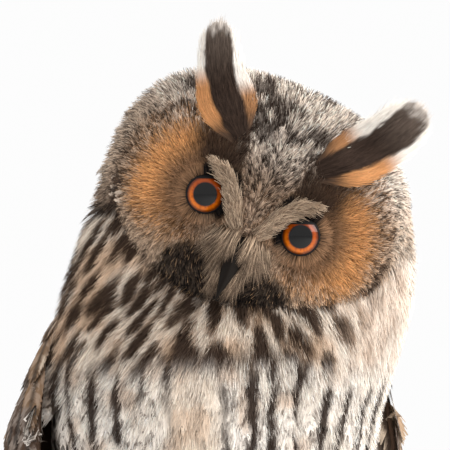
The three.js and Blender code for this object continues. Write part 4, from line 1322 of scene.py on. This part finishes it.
def tuft_core(word, side, front):
    """The dark body of a tuft under its barbs."""
    rows, columns = 24, 28
    t = np.linspace(-0.16, 0.96, rows)[:, None] + np.zeros(columns)
    turn = 2 * np.pi * np.arange(columns) / columns + np.zeros((rows, 1))
    rounded = np.sqrt(np.clip(1 - np.clip((t - 0.8) / 0.18, 0, 1) ** 2, 0.02, 1))
    a = 0.86 * np.cos(turn) * rounded
    rings = tuft_places(side, front, a, t, -0.5 + 0 * t, (np.sin(turn) < -0.01) * 1.0)
    points, faces = loft(from_head(rings))
    tint = tuft_colour(a, t, 0 * t + 0.4, 0 * t + 0.4).reshape(-1, 3) * 0.7
    colours = np.concatenate([tint, tint[:1], tint[-1:]])
    core = add_mesh(f"ear_tuft_core_{word}", points, faces, skin_look, colours)
    attach(core, "ear_tuft", f"ear_tuft_{word}")


for word, side in SIDES:
    front = tuft_front(side)
    tuft_feathers(word, side, front)
    tuft_core(word, side, front)


# Eyes and lids


def eye_frame(side):
    """An eye's middle, and the ways it looks, sideways and up."""
    turn = math.radians(EYE_DIVERGENCE)
    ahead = unit(np.array([side * math.sin(turn), -math.cos(turn), -0.02]))
    across = unit(np.cross(ahead, [0, 0, 1]))
    return np.array([side * EYE_X, -EYE_FORWARD, 0]), ahead, across, np.cross(across, ahead)


def round_gaze(ahead, across, up, turn, depth, reach):
    """Rings round the way an eye looks, each with its depth and reach."""
    sideways, upwards = reach * np.cos(turn), reach * np.sin(turn)
    return depth[..., None] * ahead + sideways[..., None] * across + upwards[..., None] * up


def eyeball(word, side):
    """A glossy ball with a painted iris and pupil."""
    middle, ahead, across, up = eye_frame(side)
    tilt = np.radians(np.concatenate([np.linspace(0, 60, 91), np.linspace(64, 180, 24)]))[:, None]
    turn = 2 * np.pi * np.arange(96) / 96
    rings = round_gaze(ahead, across, up, turn, EYE_RADIUS * np.cos(tilt), EYE_RADIUS * np.sin(tilt))
    points, faces = loft(from_head(rings + middle))
    local = to_head(points) - middle
    wide, high = local @ across, local @ up
    spread = np.hypot(wide, high)
    fibre = flat_noise(np.arctan2(high, wide) * 9, spread * 0.8, 61)
    # Painted shade: the iris darkens towards its top under the upper lid and is lighter, lit, at its bottom
    iris = mix(IRIS_IN_LID_SHADE, IRIS_LIT, smooth(-high, -4, 6))
    iris = mix(iris, IRIS_FIBRE, 0.4 * smooth(fibre, 0.45, 0.8))
    iris = mix(iris, IRIS_INNER, 0.6 * (1 - smooth(spread, PUPIL_RADIUS, PUPIL_RADIUS + 0.7)))
    iris = mix(iris, IRIS_OUTER, 0.85 * smooth(spread, IRIS_RADIUS - 1.3, IRIS_RADIUS - 0.2))
    tint = mix(iris, PUPIL, 1 - smooth(spread, PUPIL_RADIUS - 0.2, PUPIL_RADIUS + 0.2))
    tint = mix(tint, INK, smooth(spread, IRIS_RADIUS, IRIS_RADIUS + 0.4))
    attach(add_mesh(f"eyeball_{word}", points, faces, eye_look, tint), "eye", f"eye_{word}")


LID_SECTION = np.array(
    [(-0.1, -0.6), (0.0, 0.12), (0.2, 0.28), (0.5, 0.3), (0.8, 0.1), (1.1, -0.4), (1.4, -1.3), (1.6, -2.6)]
)
UPPER_LID_TURN = 23
UPPER_LID_HEIGHTS = {-1: 6.3, 1: 4.9}


def eyelids(word, side):
    """A thin dark rim on the eyeball; the upper lid cuts across the top of the iris."""
    middle, ahead, across, up = eye_frame(side)
    turn = 2 * np.pi * np.arange(120) / 120
    rightward = np.cos(turn) * (1 if across[0] > 0 else -1)
    tilt = math.radians(UPPER_LID_TURN)
    towards_top = np.cos(tilt) * np.sin(turn) - np.sin(tilt) * rightward
    opening = np.minimum(IRIS_RADIUS + 0.05, UPPER_LID_HEIGHTS[side] / np.maximum(towards_top, 0.05))
    stretch = np.maximum(1, (IRIS_RADIUS + 0.9 - opening) / 1.1)
    reach = opening + LID_SECTION[:, :1] * stretch
    depth = np.sqrt(EYE_RADIUS**2 - np.minimum(reach, EYE_RADIUS - 0.3) ** 2) + LID_SECTION[:, 1:]
    rings = round_gaze(ahead, across, up, turn, depth, reach)
    points = from_head(rings + middle).reshape(-1, 3)
    triangles = halved(grid_faces(len(LID_SECTION), len(turn)))
    normal = vertex_normals(points, triangles)
    if (normal @ from_turn(ahead)).mean() < 0:
        triangles = triangles[:, ::-1]
    attach(add_mesh(f"eyelids_{word}", points, triangles, lid_look), "coat_head", "head")


for word, side in SIDES:
    eyeball(word, side)
    eyelids(word, side)


# Bill and claws


def upper_bill():
    """A hooked horn that narrows along a bending line, sharper on its ridge than below."""
    steps = 22
    centre = BILL_ROOT
    rings = []
    angle = 2 * np.pi * np.arange(28) / 28
    rise = np.sin(angle)
    for share in np.linspace(0, 1, steps + 1):
        bend = math.radians(BILL_DROOP[0] + (BILL_DROOP[1] - BILL_DROOP[0]) * share)
        ahead = np.array([0, -math.cos(bend), -math.sin(bend)])
        over = np.array([0, -math.sin(bend), math.cos(bend)])
        half_width = max(0.15, BILL_HALF_WIDTH * (1 - share**1.8))
        half_height = max(0.15, BILL_HALF_HEIGHT * (1 - share**1.6))
        across = half_width * np.cos(angle) * np.where(rise > 0, 1 - 0.4 * rise, 1)
        lift = half_height * rise * np.where(rise > 0, 1, 0.5)
        rings.append(centre + across[:, None] * np.array([1, 0, 0]) + lift[:, None] * over)
        centre = centre + ahead * BILL_LENGTH / steps
    points, faces = loft(from_head(np.array(rings)))
    attach(add_mesh("bill_upper_horn", points, faces, horn_look), "horn", "bill_upper")


def lower_bill():
    """The small lower half, tucked under the hook."""
    middle_line = [(0, -29, -26, 4.6), (0, -34.5, -29, 4.2), (0, -38.5, -33, 3), (0, -40, -37, 1.3)]
    path, radii = finer(middle_line, 13)
    points, faces = loft(from_head(tube(path, radii, 20, 0.65)))
    attach(add_mesh("bill_lower_horn", points, faces, horn_look), "horn", "bill_lower")


def round_perch(x, degrees, distance):
    """Places round the perch, from its top."""
    angle = np.radians(degrees)
    return np.stack([x + 0 * angle, distance * np.sin(angle), PERCH_HEIGHT + distance * np.cos(angle)], -1)


def claws():
    """Each claw leaves the end of its toe and bends on round the perch."""
    t = np.linspace(0, 1, 17)
    distance = PERCH_RADIUS + TOE_RADIUS - 0.4 + 1.6 * np.sin(np.pi * t) - 1.6 * t
    radii = np.maximum(0.12, CLAW_RADIUS * (1 - t**1.4))
    for (word, side), (name, offset, splay, sweep) in itertools.product(SIDES, TOES):
        turn = math.copysign(1, sweep)
        x = side * (LEG_X + offset + splay) + side * 0.06 * splay * t
        path = round_perch(x, sweep - turn * 6 + turn * 52 * t, distance)
        points, faces = loft(tube(path, radii, 16))
        attach(add_mesh(f"claw_horn_{word}_{name}", points, faces, horn_look), "horn", f"claw_{word}_{name}")


upper_bill()
lower_bill()
claws()


# Coat of the face, head, body and feet


EYE_RIM_HAIRS = 1500


def under_tuft(q):
    """1 where a tuft lies over the head."""
    x, z = np.abs(q[..., 0]) - 24, q[..., 2] - 33
    along, across = 0.72 * x + 0.69 * z, 0.69 * x - 0.72 * z
    inside = smooth(along, -9, -4) * (1 - smooth(along, 20, 26)) * (1 - smooth(np.abs(across), 7.5, 10.5))
    return inside * smooth(-q[..., 1], 0, 8)


def not_in_eye(q):
    """True clear of both eyes."""
    return eye_distance(q) > 8.1


def hair_density(points):
    """Hair-fine feathers on the head: densest round the eyes and on the forehead."""
    q = to_head(points)
    on_face = facing(q) * (1 - smooth(disc_place(q), 1.15, 1.3))
    density = 3.4 + 3.4 * on_face + 2.2 * (1 - smooth(eye_distance(q), 9, 14))
    return np.where(not_in_eye(q) & (head_share(points) > 0.5), density * (1 - 0.8 * under_tuft(q)), 0)


def brow_density(points):
    """Hairs of the pale brows: a narrow band that thins towards its outer end."""
    q = to_head(points)
    distance, share = brow_distance(q)
    half_width = 2.2 - 1.5 * smooth(share, 0.45, 0.9)
    return np.where((distance < half_width) & (share < 0.88) & (q[..., 1] < -15) & not_in_eye(q), 18.0, 0)


def brow_field(points):
    """Along the brow, fanning outwards over the eye."""
    q = to_head(points)
    side = np.where(q[..., 0] < 0, -1.0, 1.0)
    _, share = brow_distance(q)
    angle = np.radians(np.interp(share, [0, 0.4, 0.6, 0.8, 1], [58, 54, 40, 20, 4]))
    local = np.stack([side * np.cos(angle), 0 * angle - 0.1, np.sin(angle)], -1)
    return local @ HEAD_TURN.T


def bristle_density(points):
    """Bristles on both sides of the bill, none on its ridge."""
    q = to_head(points)
    x, z = np.abs(q[..., 0]), q[..., 2]
    lowest = np.interp(x, [0, 4, 7, 13], [-27, -26, -17, -15])
    inside = (x > 0.8) & (x < 13) & (z < -5 - 0.3 * x) & (z > lowest) & (q[..., 1] < -15)
    return np.where(inside & (eye_distance(q) > 9.8), 8.5 * (1 - smooth(x, 7, 13)), 0)


def bristles(coat, roots):
    """Stiff hairs beside the bill, which bow forwards and close over its sides."""
    q = to_head(roots)
    side = np.where(q[:, 0] < 0, -1.0, 1.0)
    x = np.abs(q[:, 0])
    count = len(q)
    close = 1 - smooth(x, 3.5, 12)
    length = rng.uniform(0.7, 1.2, count) * (8.5 + 2.5 * close)
    inwards = 0.04 * close + 0.5 * (1 - close) + rng.normal(0, 0.14, count)
    length = length[:, None]
    tip = q + length * np.stack([side * inwards, -0.2 - 0.7 * close, -0.95 + 0 * x], -1)
    bend = q + length * np.stack([side * (0.1 + 0.1 * inwards), -0.3 - 0.55 * close, -0.35 + 0 * x], -1)
    t = np.linspace(0, 1, 6)
    lines = from_head(bowed(q, bend, tip, t[:, None]))
    normals = unit(np.stack([side * 0.2, 0 * x - 1, 0 * x + 0.1], -1) + 0.35 * rng.normal(0, 1, (count, 3)))
    normals = np.repeat(from_turn(normals)[:, None], 6, 1)
    widths = rng.uniform(0.25, 0.45, (count, 1)) * np.linspace(1, 0.2, 6)
    along = np.broadcast_to(t, widths.shape)
    base = skin.uvs[skin.nearest(roots)[2]].mean(1)
    coat.add(lines, normals, widths, bristle_colour(roots, lines, along), patches(base[:, None], along))


def eye_rim_hairs(coat, side):
    """Short hairs that leave the lid's edge and run outwards on to the disc."""
    one_each = (EYE_RIM_HAIRS, 1)
    middle, ahead, across, up = eye_frame(side)
    turn = rng.uniform(0, 2 * np.pi, one_each)
    reach = rng.uniform(7.75, 9.6, one_each)
    out = np.cos(turn) * across + np.sin(turn) * up
    start = middle + np.sqrt(EYE_RADIUS**2 - reach**2) * ahead + reach * out
    length = rng.uniform(3.0, 4.6, one_each)
    places, normals, index = skin.nearest(from_head(start + out * length))
    bend = from_head(start + out * length * 0.45 + ahead * 0.7)
    end = places + normals * rng.uniform(0.8, 1.6, one_each)
    t = np.linspace(0, 1, 5)
    lines = bowed(from_head(start), bend, end, t[:, None])
    facing_out = unit(from_turn(ahead + 0.3 * out)[:, None] + 0.3 * rng.normal(0, 1, (EYE_RIM_HAIRS, 1, 3)))
    facing_out = np.repeat(facing_out, 5, 1)
    widths = rng.uniform(0.3, 0.5, one_each) * np.linspace(1, 0.25, 5)
    along = np.broadcast_to(t, widths.shape)
    roots = np.repeat(from_head(start + out * 0.6)[:, None], 5, 1)
    uvs = patches(skin.uvs[index].mean(1)[:, None], along)
    coat.add(lines, facing_out, widths, hair_colour(roots, lines, along), uvs)


def hair_length(points):
    """Short at the lids and on the forehead, longer towards the rims and behind."""
    q = to_head(points)
    near = smooth(eye_distance(q), 8.5, 22)
    length = 3.4 + 2.6 * near
    length = length + 1.5 * (1 - facing(q)) + 1.5 * smooth(disc_place(q), 1.15, 1.4)
    return length * (1 - 0.3 * forehead_share(q))


face = Coat("face_coat", feather_look, "coat_head")
roots = skin.scatter(hair_density)
outside = smooth(disc_place(to_head(roots)), 1.0, 1.3)
fluffed = 1.5 + 1.6 * outside + 2.2 * outside * smooth(-to_head(roots)[:, 0], 25, 55)
strands(
    face, skin, roots, hair_colour, length=hair_length(roots), width=0.4, lift=fluffed,
    wander=0.24, steps=2, sunk=0.6,
)
for side in (-1, 1):
    eye_rim_hairs(face, side)
face.write("head")

brows = Coat("brow_coat", feather_look, "coat_head")
roots = skin.scatter(brow_density)
length = 7.0 - 3.4 * smooth(brow_distance(to_head(roots))[1], 0.5, 0.9)
strands(brows, skin, roots, brow_colour, length=length, width=0.36, lift=3.4, wander=0.13, field=brow_field)
bristles(brows, skin.scatter(bristle_density))
brows.write("head")


def rim_spacing(points):
    """Small flat feathers along the outer edge of each disc."""
    q = to_head(points)
    place = disc_place(q)
    inside = (place > 0.93) & (place < 1.12) & (q[..., 1] < 4) & (q[..., 2] < -8)
    inside &= (np.abs(q[..., 0]) > 10) | (q[..., 2] < -26)
    return np.where(inside & (head_share(points) > 0.5) & (beside_bill(q) < 0.2), 1.7, 0)


def rim_colour(roots, points, s, w, tone):
    """Dark feathers round a disc, some with pale tips."""
    q = to_head(roots)
    low = smooth(-q[..., 2], 8, 24)
    light = mix(PALE, BUFF, 0.35 * (tone > 0.6))
    dark = mix(DARK, BROWN, speckle(points, 1.0, 8))
    tint = mix(dark, light, smooth(tone, 0.52, 0.6) * smooth(s, 0.3, 0.55))
    return mix(tint, INK * 1.5, 0.6 * low * (tone < 0.7))


def side_spacing(points):
    """Soft feathers behind the discs and on the back of the head."""
    q = to_head(points)
    inside = (disc_place(q) > 1.2) & (q[..., 2] <= 26) | (q[..., 1] > 4)
    return np.where(inside & (head_share(points) > 0.4), 3.4, 0)


def side_colour(roots, points, s, w, tone):
    """Speckled feathers beside and behind the discs."""
    q = to_head(roots)
    tint = mix(side_tint(q), crown_tint(q, value_noise(q, 5.5, 5)), smooth(q[..., 2], 12, 30))
    tint = mix(tint, DARK, 0.6 * speckle(points, 1.1, 9, 0.5, 0.62))
    tint = mix(tint, PALE, 0.5 * speckle(points, 1.1, 10, 0.5, 0.62))
    # Painted shade under the disc's edge, together with its dark rim
    tint = mix(tint, DARK * 0.7, 0.85 * dark_rim_and_shade(q))
    streak = (1 - smooth(np.abs(w), 0.1, 0.4)) * smooth(s, 0.2, 0.5) * smooth(-q[..., 2], -10, 20)
    return mix(tint, DARK, 0.75 * streak * tone)


head_coat = Coat("head_coat", feather_look, "coat_head")
roots = skin.spaced(rim_spacing)
body_plumes(
    head_coat, skin, roots, rim_colour, length=4.6, half_width=1.1, lift=2.0, barbs=9, fill=1.2, fringe=0.2
)
roots = skin.spaced(side_spacing)
fluffed = 2.6 + 2.4 * smooth(-to_head(roots)[:, 0], 25, 55)
body_plumes(
    head_coat, skin, roots, side_colour, length=11, half_width=2.9, lift=fluffed, barbs=22,
    reach=2.6, fill=1.2, fringe=0.22,
)
head_coat.write("head", "neck")


def wing_angle(points):
    """The angle round the body, from its side towards its back, measured as on the wings."""
    z = points[..., 2]
    shift = body_shift(np.maximum(z, 200))
    side = np.where(points[..., 0] < shift, -1, 1)
    return np.degrees(np.arctan2(points[..., 1] - wing_middle(z), side * (points[..., 0] - shift)))


def over_wing(points):
    """0 in front of a wing's front edge and 1 behind it."""
    u = (points[..., 2] - WING_TOP) / (WING_TIP - WING_TOP)
    return smooth(wing_angle(points) - wing_front_edge(u), -8, 6) * smooth(u, 0, 0.06)


def body_spacing(points):
    """Feathers of the neck, breast, flanks and the back between the wings."""
    z = points[..., 2]
    u = (z - WING_TOP) / (WING_TIP - WING_TOP)
    angle = wing_angle(points)
    past_edge = 9 - 7 * smooth(-z, -268, -258)
    on_wing = (u > 0.03) & (angle > wing_front_edge(u) + past_edge) & (angle < wing_back_edge(u) - 6)
    inside = (z > 168) & (head_share(points) <= 0.5) & ~on_wing
    size = 5.2 + 2.2 * smooth(-z, -300, -262)
    below_face = collar_height(points @ ACROSS_FACE) - z
    by_collar = (1 - smooth(below_face, 4, 12)) * front_share(points)
    return np.where(inside, size * (1 - 0.25 * by_collar), 0)


body_coat = Coat("body_coat", feather_look, "coat_body")
roots = cover.spaced(body_spacing)
size = body_spacing(roots)
body_plumes(
    body_coat, cover, roots, body_colour, length=3.7 * size, half_width=0.95 * size,
    lift=2.4 + 2 * over_wing(roots), barbs=30, reach=2.3, curl=0.1, fringe=0.22,
)


def silk_density(points):
    """Loose silky barbs over the neck and breast."""
    z = points[..., 2]
    place = smooth(points @ TOWARDS_FACE, -14, 4) * (over_wing(points) < 0.8 - 0.62 * smooth(-z, -268, -258))
    density = 2.4 + 1.0 * smooth(z, 262, 272) - 1.3 * smooth(-z, -236, -226)
    density = density * smooth(z, 178, 190) * (1 + 0.8 * smooth(over_wing(points), 0, 0.3))
    return np.where(head_share(points) <= 0.5, density * place, 0)


roots = cover.scatter(silk_density)
upper = smooth(roots[:, 2], 262, 276)
lift = 3.1 + 0.5 * upper + 1.5 * over_wing(roots)
strands(body_coat, cover, roots, silk_colour, length=7.5 + 4.5 * upper, width=0.34, lift=lift, wander=0.16)
body_coat.write("torso", "neck")


def down_density(points):
    """Plain down on the legs and feet, under the last belly feathers."""
    return 1.3 * smooth(-points[..., 2], -190, -180)


down = Coat("leg_coat", feather_look, "leg_feather")
roots = skin.scatter(down_density)
length = 2.5 + 4.0 * smooth(roots[:, 2], 150, 180)
strands(down, skin, roots, down_colour, length=length, width=0.9, lift=0.9, wander=0.3, steps=2)
down.write("thigh_right", "thigh_left", "shank_right", "shank_left", "foot_right", "foot_left")


# Perch and stand


def wood_material(name, dark, pale, scale, stretch, roughness, bump):
    """A grain of two browns, drawn out along one axis, that also raises the surface a little."""
    made = material(name, roughness=roughness)
    nodes, links = made.node_tree.nodes, made.node_tree.links
    shader = nodes["Principled BSDF"]
    place = nodes.new("ShaderNodeTexCoord")
    mapping = nodes.new("ShaderNodeMapping")
    mapping.inputs["Scale"].default_value = stretch
    noise = nodes.new("ShaderNodeTexNoise")
    noise.inputs["Scale"].default_value = scale
    noise.inputs["Detail"].default_value = 6
    ramp = nodes.new("ShaderNodeValToRGB")
    ramp.color_ramp.elements[0].position = 0.35
    ramp.color_ramp.elements[0].color = (*linear(dark), 1)
    ramp.color_ramp.elements[1].position = 0.68
    ramp.color_ramp.elements[1].color = (*linear(pale), 1)
    rough = nodes.new("ShaderNodeBump")
    rough.inputs["Strength"].default_value = bump
    rough.inputs["Distance"].default_value = 0.001
    links.new(place.outputs["Object"], mapping.inputs["Vector"])
    links.new(mapping.outputs["Vector"], noise.inputs["Vector"])
    links.new(noise.outputs["Fac"], ramp.inputs["Fac"])
    links.new(ramp.outputs["Color"], shader.inputs["Base Color"])
    links.new(noise.outputs["Fac"], rough.inputs["Height"])
    links.new(rough.outputs["Normal"], shader.inputs["Normal"])
    return made


def perch(look):
    """A cut length of branch, plain round where the feet grip it and lumpy towards its ends."""
    x = np.linspace(-PERCH_LENGTH / 2, PERCH_LENGTH / 2, 150)[:, None]
    angle = 2 * np.pi * np.arange(72)[None] / 72
    still = smooth(np.abs(x), 38, 75)
    bow = still * (2.5 * np.cos(x / 30) - 1.5)
    swell = still * (1.4 * np.sin(x / 13) + 0.8 * np.sin(x / 7 + 1))
    lump = still * 0.7 * np.sin(3 * angle + x / 20)
    ridges = np.stack([x / 14 + 0 * angle, 2.4 * np.cos(angle) + 0 * x, 2.4 * np.sin(angle) + 0 * x], -1)
    bark = 0.9 * (value_noise(ridges, 0.45, 71) - 0.6) + 0.5 * (value_noise(ridges, 0.16, 72) - 0.6)
    radius = PERCH_RADIUS - 0.2 + swell + lump + bark
    rings = np.stack(
        [x + 0 * angle, radius * np.cos(angle) + bow, PERCH_HEIGHT + radius * np.sin(angle) + 0.6 * bow], -1
    )
    points, faces = loft(rings)
    attach(add_mesh("perch_bark", points, faces, look), "bark", "perch_branch")


def perch_stub(look):
    """The cut stub of a side twig."""
    path, radii = finer([(-58, -4, 4, 6), (-63, -14, 15, 4.8), (-67, -20, 23, 4), (-69, -23, 27, 3.4)], 19)
    points, faces = loft(tube(path + np.array([0, 0, PERCH_HEIGHT]), radii, 28))
    attach(add_mesh("perch_stub", points, faces, look), "bark", "perch_branch")


def stand_base(look):
    """A round board with a rounded upper edge."""
    outline = [(0.01, 0), (BASE_RADIUS, 0), (BASE_RADIUS, BASE_THICKNESS - BASE_BEVEL)]
    for a in np.radians([22.5, 45, 67.5, 90]):
        drop = BASE_BEVEL * (1 - math.sin(a))
        outline.append((BASE_RADIUS - BASE_BEVEL * (1 - math.cos(a)), BASE_THICKNESS - drop))
    outline.append((0.01, BASE_THICKNESS))
    angle = 2 * np.pi * np.arange(128) / 128
    radius, height = np.array(outline).T[..., None]
    rings = np.stack([radius * np.cos(angle), radius * np.sin(angle), height + 0 * angle], -1)
    points, faces = loft(rings)
    base = add_mesh("stand_base_wood", points, faces, look)
    base.data.polygons.foreach_set("use_smooth", np.zeros(len(faces), bool))
    attach(base, "base_wood", "stand_base")


def stand_rods(look):
    """Two upright rods between the base and the perch."""
    low, high = BASE_THICKNESS + 0.3, PERCH_HEIGHT - PERCH_RADIUS + 0.4
    for word, side in SIDES:
        x = side * ROD_SPREAD
        points, faces = loft(tube([(x, 0, low), (x, 0, high)], ROD_RADIUS, 40))
        attach(add_mesh(f"stand_rod_metal_{word}", points, faces, look), "rod_metal", f"stand_rod_{word}")


bark_look = wood_material(
    "bark", dark="#3f3325", pale="#8d7a5c", scale=120, stretch=(0.35, 1, 1), roughness=0.9, bump=0.8
)
base_look = wood_material(
    "base_wood", dark="#3b2517", pale="#6d4a30", scale=30, stretch=(1, 8, 1), roughness=0.35, bump=0.15
)
rod_look = material("rod_metal", tuple(linear("#2b2b2d")), roughness=0.35, metallic=0.9, specular=0.5)
perch(bark_look)
perch_stub(bark_look)
stand_base(base_look)
stand_rods(rod_look)


# Stage, light and camera


# Degrees, and metres from here on; the floor alone is in millimetres, as all meshes are
CAMERA_AZIMUTH = -18
CAMERA_ELEVATION = -4
CAMERA_DISTANCE = 3.0
FRAME_WIDTH = 0.18
EYES_RIGHT_OF_MIDDLE = 0.0112
EYES_ABOVE_MIDDLE = 0.004
SKY_LIGHT = 1.0
SKY_SEEN = 0.98
LAMP_DISTANCE = 1.5
LAMP_TARGET_HEIGHT = 0.3
FLOOR_HALF_WIDTH = 4000


def direction(azimuth, elevation):
    """The way from the owl towards a place; azimuth 0 is straight in front."""
    a, e = math.radians(azimuth), math.radians(elevation)
    return Vector((math.sin(a) * math.cos(e), -math.cos(a) * math.cos(e), math.sin(e)))


def lamp(name, azimuth, elevation, size, power, colour):
    """A soft square lamp that shines on the owl from the given side and height in degrees."""
    data = bpy.data.lights.new(name, "AREA")
    data.size = size
    data.energy = power
    data.color = colour
    made = bpy.data.objects.new(name, data)
    towards = direction(azimuth, elevation)
    made.location = Vector((0, 0, LAMP_TARGET_HEIGHT)) + towards * LAMP_DISTANCE
    made.rotation_euler = towards.to_track_quat("Z", "Y").to_euler()
    bpy.context.scene.collection.objects.link(made)


def stage():
    """A wide pale floor and two lamps: a key from the owl's left, and one behind it that lights its edge."""
    corners = FLOOR_HALF_WIDTH * np.array([(-1, -1, 0), (1, -1, 0), (1, 1, 0), (-1, 1, 0)], float)
    look = material("floor", (0.72, 0.72, 0.72), roughness=0.8)
    add_mesh("floor", corners, np.array([[0, 1, 2, 3]]), look)
    lamp("key", azimuth=52, elevation=32, size=1.0, power=20, colour=(1, 0.98, 0.96))
    lamp("rim", azimuth=118, elevation=40, size=0.9, power=34, colour=(1, 1, 1))
    bpy.context.scene.view_settings.view_transform = "Standard"


def sky():
    """Soft light from all round, with a bright plain backdrop."""
    world = bpy.data.worlds.new("sky")
    world.use_nodes = True
    nodes, links = world.node_tree.nodes, world.node_tree.links
    seen = nodes.new("ShaderNodeLightPath")
    strength = nodes.new("ShaderNodeMix")
    strength.inputs["A"].default_value = SKY_LIGHT
    strength.inputs["B"].default_value = SKY_SEEN
    links.new(seen.outputs["Is Camera Ray"], strength.inputs["Factor"])
    links.new(strength.outputs["Result"], nodes["Background"].inputs["Strength"])
    nodes["Background"].inputs["Color"].default_value = (1, 1, 1, 1)
    bpy.context.scene.world = world


def camera():
    """At the picture's angle, far off, so that the eyes stand where the picture has them."""
    eyes = [sum(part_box(f"eye_{word}"), Vector()) / 2 for word in ("right", "left")]
    middle = (eyes[0] + eyes[1]) / 2
    towards = direction(CAMERA_AZIMUTH, CAMERA_ELEVATION)
    turn = towards.to_track_quat("Z", "Y")
    right, up = turn @ Vector((1, 0, 0)), turn @ Vector((0, 1, 0))
    data = bpy.data.cameras.new("camera")
    data.lens = data.sensor_width * CAMERA_DISTANCE / FRAME_WIDTH
    data.clip_end = 50
    made = bpy.data.objects.new("camera", data)
    made.location = middle - right * EYES_RIGHT_OF_MIDDLE - up * EYES_ABOVE_MIDDLE + towards * CAMERA_DISTANCE
    made.rotation_euler = turn.to_euler()
    bpy.context.scene.collection.objects.link(made)
    bpy.context.scene.camera = made


stage()
sky()
camera()
